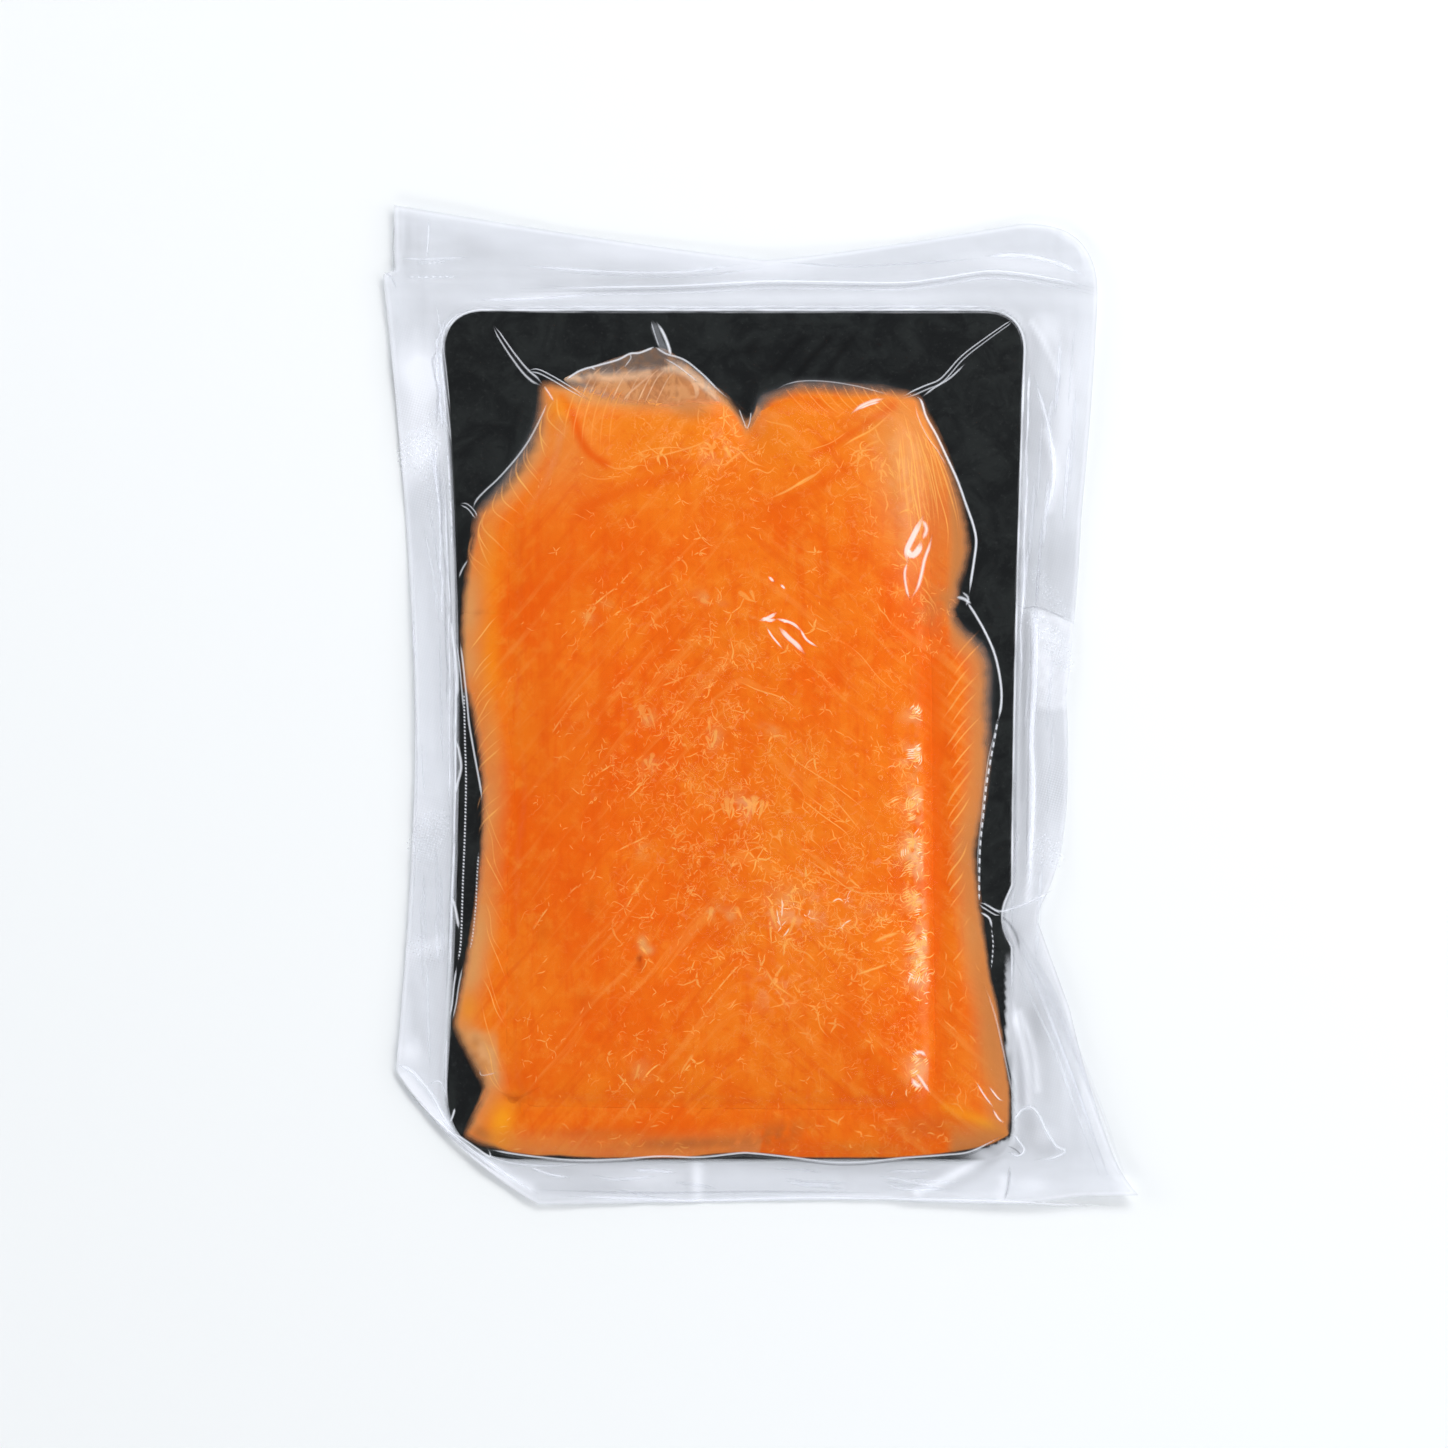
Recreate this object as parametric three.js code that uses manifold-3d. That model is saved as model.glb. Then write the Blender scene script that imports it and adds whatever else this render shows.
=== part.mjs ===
// A vacuum pack of sliced smoked salmon, lying face up.
// Millimetres, +Z up, +Y towards the top seal. The origin is the middle of the pack's footprint, on the surface it lies on.
import * as THREE from 'three';
import { mergeVertices } from 'three/addons/utils/BufferGeometryUtils.js';
import Module from 'manifold-3d';

// ---- driving dimensions ----
const CARD_W = 152;          // card board, across
const CARD_L = 221.4;        // card board, along
const CARD_T = 1.2;          // card thickness
const CARD_X = -7;           // the card sits left of the pouch's middle
const CARD_Y = -7.6;         // and towards its bottom
const CARD_CORNER = 10;      // corner radius
const CARD_TAPER = 2.6;      // the right side leans in towards the bottom
const CARD_TUCK = 12;        // extra radius at the bottom left corner, which the film pulls in
const CARD_BOW_LEFT = 4.2;   // how far the vacuum pulls each long side in
const CARD_BOW_RIGHT = 3.0;

const GAP = 0.3;             // clearance between neighbouring pieces
const FILM_T = 0.5;          // each ply of film
const BASE_T = 3.8;          // lower slices where they are covered
const RIM_T = 0.7;           // lower slices at their tapered rim
const TOP_RIM_T = 0.7;       // top slice at its rim
const TOP_T = 5.4;           // top slice at its middle
const MEMBRANE_T = 0.8;      // thin flap at the top left
const SHOULDER_BAND = 9;     // how much of the lower slices shows beside the top slice at the shoulders
const END_BAND = 2.5;        // and at the two ends
const FOOT = 1.2;            // run of the film from a slice's rim down to the card
const CARD_FOOT = 1.8;       // run of the film from the card's edge down to the back ply

const SIDE_STEPS = 24;       // samples along each side of an outline
const RAY_GAP = 4.3;         // widest angle between lattice rays, degrees
const CENTRE = [-6.8, -7.6]; // hub of the lattice

// An outline runs clockwise from its top left corner. Each side starts at a corner and may carry bows:
// `at` is where along the side a bow peaks, `before` and `after` its reach each way (shares of the side),
// `out` its height in mm (negative pulls the side in) and `power` its form (1 pointed, 2 round).
const bow = (at, before, after, out, power = 2) => ({ at, before, after, out, power });

const POUCH = [
  { corner: [-95.8, 130.8], bows: [bow(0.53, 0.53, 0.40, -12.4, 1.15)] },              // top, sagging to the middle
  { corner: [88.6, 127.0], round: 15, bows: [bow(0.36, 0.36, 0.40, 3.4), bow(0.88, 0.2, 0.1, 4.2)] }, // right, down to the pinch
  { corner: [72.3, -56.5], bows: [bow(0.82, 0.5, 0.18, -2.6)] },                       // right, below the pinch
  { corner: [98.4, -127.6], bows: [bow(0.22, 0.12, 0.2, 1.6)] },                       // bottom
  { corner: [-58.0, -130.2], bows: [bow(0.5, 0.5, 0.5, 3.0)] },                        // folded-in bottom left corner
  { corner: [-95.3, -95.0], bows: [bow(0.46, 0.46, 0.54, -6.6, 1.6)] },                // left
  { corner: [-98.7, 112.8], bows: [] },                                                // step between the two plies
  { corner: [-95.6, 113.6], bows: [] },
];

const CARD = [
  { corner: [CARD_X - CARD_W / 2, CARD_Y + CARD_L / 2], round: CARD_CORNER, bows: [] },
  { corner: [CARD_X + CARD_W / 2, CARD_Y + CARD_L / 2], round: CARD_CORNER, bows: [bow(0.56, 0.56, 0.44, -CARD_BOW_RIGHT / 2), bow(0.715, 0.035, 0.035, -2.6)] },
  { corner: [CARD_X + CARD_W / 2 - CARD_TAPER, CARD_Y - CARD_L / 2], round: CARD_CORNER - 4, bows: [] },
  { corner: [CARD_X - CARD_W / 2, CARD_Y - CARD_L / 2], round: CARD_CORNER + CARD_TUCK, bows: [bow(0.52, 0.5, 0.45, -CARD_BOW_LEFT)] },
];

const FISH = [
  { corner: [-56.9, 84.0], bows: [bow(0.22, 0.22, 0.26, -4.6), bow(0.55, 0.13, 0.12, -11.0, 0.8), bow(0.78, 0.18, 0.2, 3.6)] }, // two lobes and a notch
  { corner: [40.2, 81.4], bows: [bow(0.20, 0.20, 0.085, 8.6), bow(0.40, 0.11, 0.215, 8.2), bow(0.75, 0.2, 0.2, -0.7)] },     // shoulder, elbow, waist
  { corner: [65.0, -112.4], bows: [bow(0.5, 0.5, 0.5, 5.6, 4), bow(0.49, 0.12, 0.12, -1.8)] },                                   // tail end
  { corner: [-76.5, -113.2], bows: [] },
  { corner: [-71.8, -99.0], bows: [] },                                                                                        // bite
  { corner: [-80.0, -84.0], bows: [bow(0.40, 0.38, 0.26, -5.8), bow(0.78, 0.14, 0.18, 1.9)] },                                // waist and left bulge
  { corner: [-74.5, 50.0], bows: [bow(0.62, 0.6, 0.38, -4.2)] },                                                               // left shoulder
];

// Straight-sided limits of the top slice, which also keeps its band of lower slices all round.
const TOP = [
  { corner: [-65.5, 92.0], bows: [] },
  { corner: [43.6, 92.0], bows: [] },
  { corner: [45.6, -105.5], round: 9, bows: [] },
  { corner: [-66.5, -104.5], round: 9, bows: [] },
];

const MEMBRANE = [
  { corner: [-52.0, 85.3], bows: [bow(0.52, 0.52, 0.48, 12.6, 1.3)] },
  { corner: [-6.0, 77.3], bows: [bow(0.5, 0.5, 0.5, 6.0, 2)] },
];

// Part of the lower layer that belongs to the shoulder slice: everything above this line.
const SEAM_RIGHT = 27.7, SEAM_LEFT = 27.0, SEAM_DIP = 5;

// Film that lifts off the surface towards the pouch's edge: direction, spread (degrees) and height at the edge.
const LIFTS = [[-52, 9, 3.0], [122, 8, 2.2], [-29, 6, 1.6], [48, 10, 1.2], [-128, 12, 1.4], [176, 16, 0.9], [88, 14, 0.7]];

// ---- outlines ----
function outline(sides) {
  const n = sides.length, corners = sides.map((s) => new THREE.Vector2(...s.corner)), runs = [];
  for (let i = 0; i < n; i++) {
    const a = corners[i], b = corners[(i + 1) % n];
    const along = b.clone().sub(a), len = along.length();
    const out = new THREE.Vector2(-along.y, along.x).divideScalar(len);
    const run = [];
    for (let k = 0; k <= SIDE_STEPS; k++) {
      const u = k / SIDE_STEPS;
      let h = 0;
      for (const w of sides[i].bows) {
        const t = u < w.at ? (w.at - u) / w.before : (u - w.at) / w.after;
        if (t < 1) h += w.out * (1 - Math.pow(t, w.power));
      }
      run.push(a.clone().addScaledVector(along, u).addScaledVector(out, h));
    }
    runs.push(run);
  }
  const pts = [];
  for (let i = 0; i < n; i++) {
    const r = sides[i].round ?? 0, rNext = sides[(i + 1) % n].round ?? 0;
    const run = runs[i].filter((p) => (!r || p.distanceTo(corners[i]) >= r) && (!rNext || p.distanceTo(corners[(i + 1) % n]) >= rNext));
    if (r) {
      const before = runs[(i + n - 1) % n].filter((p) => p.distanceTo(corners[i]) >= r).at(-1);
      const bend = new THREE.QuadraticBezierCurve(before, corners[i], run[0]);
      pts.push(...bend.getPoints(8).slice(1, -1));
    }
    pts.push(...(rNext ? run : run.slice(0, -1)));
  }
  return pts;
}

function radius(pts, angle) {
  const c = Math.cos(angle), s = Math.sin(angle);
  let best = 0;
  for (let i = 0; i < pts.length; i++) {
    const a = pts[i], b = pts[(i + 1) % pts.length];
    const ax = a.x - CENTRE[0], ay = a.y - CENTRE[1], dx = b.x - a.x, dy = b.y - a.y;
    const det = dx * s - dy * c;
    if (Math.abs(det) < 1e-12) continue;
    const t = (ay * c - ax * s) / det;
    const r = (ax * dy - ay * dx) / -det;
    if (t >= -1e-9 && t <= 1 + 1e-9 && r > 0) best = Math.max(best, r);
  }
  return best;
}

const pouchPts = outline(POUCH), cardPts = outline(CARD), fishPts = outline(FISH), membranePts = outline(MEMBRANE), topPts = outline(TOP);

// ---- lattice rays, through every corner ----
const DEG = Math.PI / 180;
const angleOf = ([x, y]) => (Math.atan2(y - CENTRE[1], x - CENTRE[0]) / DEG + 360) % 360;
const keys = [...POUCH, ...FISH, ...TOP].map((s) => angleOf(s.corner));
const peak = membranePts.reduce((a, b) => (b.y > a.y ? b : a));
keys.push(...MEMBRANE.map((s) => angleOf(s.corner)), angleOf([peak.x, peak.y]), angleOf([-3.6, 72]));
for (const s of CARD) {
  const [x, y] = s.corner, r = s.round * 0.9, ix = Math.sign(CARD_X - x), iy = Math.sign(CARD_Y - y);
  keys.push(angleOf([x + ix * r, y]), angleOf([x + ix * r * 0.3, y + iy * r * 0.3]), angleOf([x, y + iy * r]));
}
keys.sort((a, b) => a - b);
const kept = keys.reduce((list, k) => (list.length && k - list.at(-1) < 0.35 ? list : [...list, k]), []);
const RAYS = [];
for (let i = 0; i < kept.length; i++) {
  const a = kept[i], b = i + 1 < kept.length ? kept[i + 1] : kept[0] + 360;
  const parts = Math.ceil((b - a) / RAY_GAP);
  for (let k = 0; k < parts; k++) RAYS.push((a + (b - a) * k / parts) * DEG);
}
const N = RAYS.length;

const rPouch = RAYS.map((t) => radius(pouchPts, t));
const rCard = RAYS.map((t) => radius(cardPts, t));
const rFish = RAYS.map((t, i) => Math.min(radius(fishPts, t), rCard[i] - 0.6));
const rFlap = RAYS.map((t, i) => {
  const inLobe = t / DEG > 87 && t / DEG < 119;
  return inLobe ? Math.max(radius(membranePts, t) + GAP * 2, rFish[i] + 0.2) : rFish[i] + 0.2;
});
const rTop = rFish.map((r, i) => {
  const band = END_BAND + (SHOULDER_BAND - END_BAND) * Math.pow(Math.abs(Math.cos(RAYS[i])), 0.6);
  return Math.min(radius(topPts, RAYS[i]), r - band);
});

// ---- heights ----
const zCard = FILM_T + GAP, zFish = zCard + CARD_T + GAP, zBaseTop = zFish + BASE_T, zTopUnder = zBaseTop + GAP;
const roll = (x, y) => 0.28 * Math.sin(x * 0.075 + y * 0.02) + 0.22 * Math.sin(y * 0.055 - x * 0.03 + 1.1) + 0.14 * Math.sin((x + y) * 0.11);
const lift = (i) => LIFTS.reduce((sum, [dir, spread, h]) => {
  const d = ((RAYS[i] / DEG - dir + 540) % 360) - 180;
  return sum + h * Math.exp(-(d * d) / (2 * spread * spread));
}, 0.25 + 0.25 * Math.sin(RAYS[i] * 9));

const at = (i, r) => [CENTRE[0] + r * Math.cos(RAYS[i]), CENTRE[1] + r * Math.sin(RAYS[i])];
const fade = [1, 1, 0.97, 0.88, 0.66, 0];                // how much of its full height the top slice has at each ring
const topShare = [0, 0.35, 0.62, 0.82, 0.94, 1];
const rTopRing = (i, k) => rTop[i] * topShare[k];
const zTop = (i, k) => {
  const [x, y] = at(i, rTopRing(i, k));
  return zTopUnder + TOP_RIM_T + (TOP_T - TOP_RIM_T + roll(x, y)) * fade[k];
};
const rBase = (i, k) => (k === 1 ? rTop[i] : k === 2 ? rTop[i] + 0.55 * (rFish[i] - rTop[i]) : k === 3 ? rFish[i] : 0);
const zBase = (k) => [zBaseTop, zBaseTop, zFish + 0.72 * BASE_T, zFish + RIM_T][k];

// Radii and heights of the drape, from the middle of the top slice out to the pouch's edge.
const rDrape = (i, k) => {
  if (k <= 5) return rTopRing(i, k);
  if (k <= 7) return rBase(i, k - 4);
  if (k === 8) return rFlap[i];
  const foot = rFlap[i] + FOOT, edge = Math.max(rCard[i] + GAP, foot + 0.3), down = edge + CARD_FOOT;
  return [foot, edge, down, (down + rPouch[i]) / 2, rPouch[i]][k - 9];
};
const zDrape = (i, k) => {
  if (k <= 5) return zTop(i, k) + GAP;
  if (k <= 7) return zBase(k - 4) + GAP;
  if (k === 8) return zFish + Math.max(RIM_T, MEMBRANE_T) + GAP;
  if (k <= 10) return zCard + CARD_T + GAP;
  return FILM_T + GAP + lift(i) * [0, 0.35, 1][k - 11];
};
const LAST = 13;

// ---- solids ----
// A lathe gives the closed net of rings and rays; each of its vertices then goes to its own radius and height.
function ringed(bottom, top) {
  const profile = [
    ...bottom.map((_, k) => new THREE.Vector2(k, 0)),
    ...top.map((_, k) => new THREE.Vector2(k, 1)).reverse(),
  ];
  const net = new THREE.LatheGeometry(profile, N), pos = net.attributes.position;
  // The upper surface is split along the same diagonals as the lower one, so stacked pieces keep an even gap.
  const rows = profile.length, index = net.index.array;
  for (let i = 0; i < N; i++) for (let j = bottom.length; j < rows - 1; j++) {
    const a = j + i * rows, b = a + rows, c = b + 1, d = a + 1;
    index.set([a, b, c, a, c, d], (i * (rows - 1) + j) * 6);
  }
  for (let v = 0; v < pos.count; v++) {
    const k = Math.round(Math.hypot(pos.getX(v), pos.getZ(v)));
    const i = k === 0 ? 0 : (Math.round(Math.atan2(pos.getX(v), pos.getZ(v)) / (2 * Math.PI) * N) + N) % N;
    const [r, z] = (pos.getY(v) < 0.5 ? bottom : top)[k](i);
    const [x, y] = at(i, r);
    pos.setXYZ(v, x, y, z);
  }
  return closed(net);
}

function closed(geometry) {
  geometry.deleteAttribute('normal');
  geometry.deleteAttribute('uv');
  const g = mergeVertices(geometry, 1e-4), idx = g.index.array, p = g.attributes.position, keep = [];
  const V = (n) => new THREE.Vector3().fromBufferAttribute(p, n);
  let volume = 0;
  for (let t = 0; t < idx.length; t += 3) {
    const [a, b, c] = [idx[t], idx[t + 1], idx[t + 2]];
    if (a === b || b === c || c === a) continue;
    keep.push(a, b, c);
    volume += V(a).dot(V(b).cross(V(c)));
  }
  if (volume < 0) for (let t = 0; t < keep.length; t += 3) [keep[t], keep[t + 1]] = [keep[t + 1], keep[t]];
  g.setIndex(keep);
  return g;
}

function prism(points, z0, z1) {
  const g = new THREE.ExtrudeGeometry(new THREE.Shape(points), { depth: z1 - z0, bevelEnabled: false, steps: 1 });
  g.translate(0, 0, z0);
  return closed(g);
}

const wasm = await Module();
wasm.setup();
const solid = (g) => new wasm.Manifold(new wasm.Mesh({ numProp: 3, vertProperties: new Float32Array(g.attributes.position.array), triVerts: new Uint32Array(g.index.array) }));
function geometryOf(manifold) {
  const m = manifold.getMesh(), g = new THREE.BufferGeometry();
  g.setAttribute('position', new THREE.BufferAttribute(new Float32Array(m.vertProperties), 3));
  g.setIndex(new THREE.BufferAttribute(new Uint32Array(m.triVerts), 1));
  return g;
}

const rings = (ks, r, z) => ks.map((k) => (i) => [r(i, k), z(i, k)]);
const range = (n) => [...Array(n).keys()];

const filmFront = ringed(rings(range(LAST + 1), rDrape, zDrape), rings(range(LAST + 1), rDrape, (i, k) => zDrape(i, k) + FILM_T));
const backRings = [0, 11, 12, 13], zBack = (i, k) => (k < 12 ? 0 : zDrape(i, k) - GAP - FILM_T);
const filmBack = ringed(
  rings(backRings, (i, k) => (k === 0 ? 0 : rDrape(i, k)), zBack),
  rings(backRings, (i, k) => (k === 0 ? 0 : rDrape(i, k)), (i, k) => zBack(i, k) + FILM_T),
);
const card = prism(RAYS.map((_, i) => new THREE.Vector2(...at(i, rCard[i]))), zCard, zCard + CARD_T);
const topSlice = ringed(
  rings([0, 5], rTopRing, () => zTopUnder),
  rings(range(6), rTopRing, zTop),
);
const base = solid(ringed(rings([0, 3], rBase, () => zFish), rings(range(4), rBase, (i, k) => zBase(k))));

// The seam between the two lower slices, a shallow curve from side to side.
const seam = (shift) => new THREE.QuadraticBezierCurve(
  new THREE.Vector2(-120, SEAM_LEFT + shift), new THREE.Vector2(-5, (SEAM_LEFT + SEAM_RIGHT) / 2 - 2 * SEAM_DIP + shift), new THREE.Vector2(120, SEAM_RIGHT + shift),
).getPoints(16);
const above = (shift) => solid(prism([...seam(shift), new THREE.Vector2(120, 200), new THREE.Vector2(-120, 200)], zFish - 5, zBaseTop + 5));
const shoulder = base.intersect(above(GAP / 2));
const lower = base.subtract(above(-GAP / 2));

const grown = solid(prism(RAYS.map((_, i) => new THREE.Vector2(...at(i, rFish[i] + GAP))), zFish - 5, zBaseTop + 5));
const flap = solid(prism(membranePts, zFish, zFish + MEMBRANE_T)).subtract(grown);

// ---- scene graph ----
const group = new THREE.Group();
const PIECES = [
  ['film_back', filmBack, 0xdfe2ea, 0.25],
  ['card_board', card, 0x2a2b2d, 0.5],
  ['slice_lower', geometryOf(lower), 0xf08a3c, 0.35],
  ['slice_shoulder', geometryOf(shoulder), 0xf28535, 0.35],
  ['slice_top', topSlice, 0xf4701e, 0.3],
  ['membrane_flap', geometryOf(flap), 0xb98a62, 0.4],
  ['film_front', filmFront, 0xe6e9f0, 0.15],
];
for (const [name, geometry, color, roughness] of PIECES) {
  const mesh = new THREE.Mesh(geometry, new THREE.MeshStandardMaterial({ color, roughness, metalness: 0, flatShading: true }));
  mesh.name = name;
  group.add(mesh);
}
const box = new THREE.Box3().setFromObject(group), mid = box.getCenter(new THREE.Vector3());
group.position.set(-mid.x, -mid.y, -box.min.z);
group.updateMatrixWorld(true);

export default group;
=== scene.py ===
import math

import bpy
import numpy as np
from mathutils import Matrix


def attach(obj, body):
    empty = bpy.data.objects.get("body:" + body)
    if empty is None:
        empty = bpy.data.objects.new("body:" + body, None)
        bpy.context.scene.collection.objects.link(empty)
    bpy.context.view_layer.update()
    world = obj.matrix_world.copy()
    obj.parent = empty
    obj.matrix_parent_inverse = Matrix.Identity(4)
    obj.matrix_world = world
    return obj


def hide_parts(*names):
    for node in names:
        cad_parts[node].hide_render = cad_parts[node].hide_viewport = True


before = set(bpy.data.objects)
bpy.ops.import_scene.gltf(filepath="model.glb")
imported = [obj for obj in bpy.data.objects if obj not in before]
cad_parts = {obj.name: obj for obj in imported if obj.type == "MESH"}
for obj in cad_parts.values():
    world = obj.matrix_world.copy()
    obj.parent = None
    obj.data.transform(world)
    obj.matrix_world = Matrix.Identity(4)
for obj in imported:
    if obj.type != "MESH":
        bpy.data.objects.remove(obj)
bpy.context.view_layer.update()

MM = 0.001

# ---------------------------------------------------------------- sizes, in mm, as in the CAD
OFFSET = (0.15, -0.30)          # from the drawing's axes to the frame's origin
FILM_T, GAP, CARD_T, BASE_T, TOP_T = 0.5, 0.3, 1.2, 3.8, 5.4
Z_CARD = FILM_T + GAP
Z_CARD_TOP = Z_CARD + CARD_T
Z_FISH = Z_CARD_TOP + 0.06
Z_BASE = Z_CARD_TOP + GAP + BASE_T
CARD_W, CARD_L, CARD_X, CARD_Y = 152.0, 221.4, -7.0, -7.6
CENTRE = (-6.8, -7.6)
FILM_CLEAR = 0.10
STEP = 0.62   # grid pitch of the fine surfaces


def bow(at, before, after, out, power=2.0):
    return (at, before, after, out, power)


POUCH = [
    ((-95.8, 130.8), 0, [bow(0.53, 0.53, 0.40, -12.4, 1.15)]),
    ((88.6, 127.0), 20, [bow(0.36, 0.36, 0.40, 2.0), bow(0.88, 0.2, 0.1, 4.2), bow(0.70, 0.28, 0.22, 1.4)]),
    ((72.3, -56.5), 0, [bow(0.82, 0.5, 0.18, -2.6)]),
    ((98.4, -127.6), 0, [bow(0.22, 0.12, 0.2, 1.6)]),
    ((-58.0, -130.2), 0, [bow(0.5, 0.5, 0.5, 3.0)]),
    ((-95.3, -95.0), 0, [bow(0.46, 0.46, 0.54, -6.6, 1.6)]),
    ((-98.7, 112.8), 0, []),
    ((-95.6, 113.6), 0, []),
]
CARD = [
    ((CARD_X - CARD_W / 2, CARD_Y + CARD_L / 2), 10, []),
    ((CARD_X + CARD_W / 2, CARD_Y + CARD_L / 2), 10, [bow(0.56, 0.56, 0.44, -1.5), bow(0.715, 0.035, 0.035, -2.6)]),
    ((CARD_X + CARD_W / 2 - 3.4, CARD_Y - CARD_L / 2), 9, []),
    ((CARD_X - CARD_W / 2, CARD_Y - CARD_L / 2), 19, [bow(0.52, 0.5, 0.45, -4.2)]),
]
FISH = [
    ((-56.9, 84.0), 0, [bow(0.22, 0.22, 0.26, -4.6), bow(0.55, 0.13, 0.12, -11.0, 0.8), bow(0.73, 0.14, 0.24, 3.4)]),
    ((40.2, 81.4), 0, [bow(0.20, 0.20, 0.085, 8.6), bow(0.40, 0.11, 0.215, 8.2), bow(0.75, 0.2, 0.2, -0.7)]),
    ((65.0, -112.4), 0, [bow(0.5, 0.5, 0.5, 5.6, 4), bow(0.49, 0.12, 0.12, -1.8)]),
    ((-77.4, -112.0), 0, []),
    ((-71.4, -100.0), 0, []),
    ((-80.0, -84.0), 0, [bow(0.40, 0.38, 0.26, -5.8), bow(0.78, 0.14, 0.18, 1.9)]),
    ((-74.5, 50.0), 3, [bow(0.62, 0.6, 0.38, -4.2)]),
]
TOP = [
    ((-65.5, 92.0), 0, []),
    ((43.6, 92.0), 0, []),
    ((45.6, -105.5), 9, []),
    ((-66.5, -104.5), 9, []),
]
MEMBRANE = [
    ((-52.0, 85.3), 0, [bow(0.52, 0.52, 0.48, 12.6, 1.3)]),
    ((-6.0, 77.3), 0, [bow(0.5, 0.5, 0.5, 6.0)]),
]
SEAM_LEFT, SEAM_RIGHT, SEAM_DIP = 27.0, 27.7, 5.0
LIFTS = [(-52, 9, 3.0), (122, 8, 1.0), (-29, 6, 1.6), (48, 10, 1.2), (-128, 12, 1.4), (176, 16, 0.9), (88, 14, 0.7)]


# ---------------------------------------------------------------- outlines
def smooth(t):
    t = np.clip(t, 0, 1)
    return t * t * (3 - 2 * t)


def side_runs(sides, steps=96):
    runs = []
    n = len(sides)
    for i, (corner, _, bows) in enumerate(sides):
        a, b = np.array(corner, float), np.array(sides[(i + 1) % n][0], float)
        along = b - a
        out = np.array([-along[1], along[0]]) / np.hypot(*along)
        u = np.linspace(0, 1, steps + 1)
        h = np.zeros_like(u)
        for at, before, after, height, power in bows:
            t = np.where(u < at, (at - u) / before, (u - at) / after)
            h += np.where(t < 1, height * (1 - np.clip(t, 0, 1) ** power), 0)
        runs.append(a + u[:, None] * along + h[:, None] * out)
    return runs


def outline(sides, steps=96):
    runs, n, pts = side_runs(sides, steps), len(sides), []
    corners = [np.array(s[0], float) for s in sides]
    for i in range(n):
        r, rn = sides[i][1], sides[(i + 1) % n][1]
        run = runs[i]
        keep = np.ones(len(run), bool)
        if r:
            keep &= np.hypot(*(run - corners[i]).T) >= r
        if rn:
            keep &= np.hypot(*(run - corners[(i + 1) % n]).T) >= rn
        run = run[keep]
        if r:
            prev = runs[i - 1][np.hypot(*(runs[i - 1] - corners[i]).T) >= r][-1]
            t = np.linspace(0, 1, 14)[1:-1, None]
            pts.append((1 - t) ** 2 * prev + 2 * t * (1 - t) * corners[i] + t ** 2 * run[0])
        pts.append(run if rn else run[:-1])
    return np.vstack(pts)


def soften(pts, mm, keep=()):
    """Rounds an outline's small kinks by averaging along it, away from the points named in keep."""
    seg = np.hypot(*(np.roll(pts, -1, 0) - pts).T)
    s = np.concatenate([[0], np.cumsum(seg)])
    m = int(s[-1] / 0.5)
    q = np.linspace(0, s[-1], m, endpoint=False)
    loop = np.vstack([pts, pts[:1]])
    p = np.stack([np.interp(q, s, loop[:, k]) for k in (0, 1)], 1)
    w = max(1, int(mm / 0.5))
    ker = np.hanning(2 * w + 3)[1:-1]
    ker /= ker.sum()
    sm = np.stack([np.convolve(np.concatenate([p[-w:, k], p[:, k], p[:w, k]]), ker, "valid") for k in (0, 1)], 1)
    hold = np.zeros(m)
    for k in keep:
        hold = np.maximum(hold, np.exp(-(np.hypot(p[:, 0] - k[0], p[:, 1] - k[1]) / (mm * 0.8)) ** 2))
    return sm * (1 - hold[:, None]) + p * hold[:, None]


def polar(pts):
    ang = np.degrees(np.arctan2(pts[:, 1] - CENTRE[1], pts[:, 0] - CENTRE[0])) % 360
    r = np.hypot(pts[:, 0] - CENTRE[0], pts[:, 1] - CENTRE[1])
    o = np.argsort(ang)
    return ang[o], r[o]


def reach(pts, ang):
    """How far an outline lies from the hub in the given directions."""
    a, r = polar(pts)
    return np.interp(ang, a, r, period=360)


def limited(pts, radius):
    """An outline pulled in to a radius given for each direction."""
    ang = np.degrees(np.arctan2(pts[:, 1] - CENTRE[1], pts[:, 0] - CENTRE[0]))
    r = np.minimum(np.hypot(pts[:, 0] - CENTRE[0], pts[:, 1] - CENTRE[1]), radius(ang))
    return np.stack([CENTRE[0] + r * np.cos(np.radians(ang)), CENTRE[1] + r * np.sin(np.radians(ang))], 1)


pouch = soften(outline(POUCH), 1.0, [s[0] for s in POUCH if not s[1]])
card = outline(CARD)
fish = soften(outline(FISH), 2.5, [(-3.6, 71.6), (65.0, -112.4), (-77.4, -112.0), (-80.0, -84.0)])
# The rim fades out, so it starts a little outside the slice's firm edge, but never past the card.
along = np.roll(fish, -3, 0) - np.roll(fish, 3, 0)
out = np.stack([-along[:, 1], along[:, 0]], 1) / np.hypot(*along.T)[:, None]
fx_, fy_ = fish[:, 0], fish[:, 1]
spread = 0.2 + (1.0 - 0.3 * smooth((-fy_ - 100) / 8)) * smooth((fx_ + 84) / 8)
spread = spread + 2.2 * np.exp(-((fx_ - 1.8) ** 2 + (fy_ - 79.3) ** 2) / 20.0) + 0.9 * smooth((fx_ - 50) / 6) * smooth((-fy_ - 70) / 10) * smooth((fy_ + 111) / 8)
spread = spread + 4.2 * np.exp(-((fx_ + 30) / 22) ** 4) * smooth((fy_ - 66) / 4)
spread = spread - 1.6 * np.exp(-((fx_ - 17) / 13) ** 4) * smooth((fy_ - 78) / 3) + 2.4 * np.exp(-((fx_ - 48.5) ** 2 + (fy_ - 27.0) ** 2) / 18.0) + 2.3 * np.exp(-((fy_ - 13.0) / 10.0) ** 2) * smooth((fx_ - 50) / 6) + 0.8 * smooth((-fy_ - 109) / 2) * smooth((-52 - fx_) / 8) * smooth((fx_ + 76) / 2)
tip = np.exp(-((fx_ - 65.0) ** 2 + (fy_ + 112.4) ** 2) / 9.0)
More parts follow.
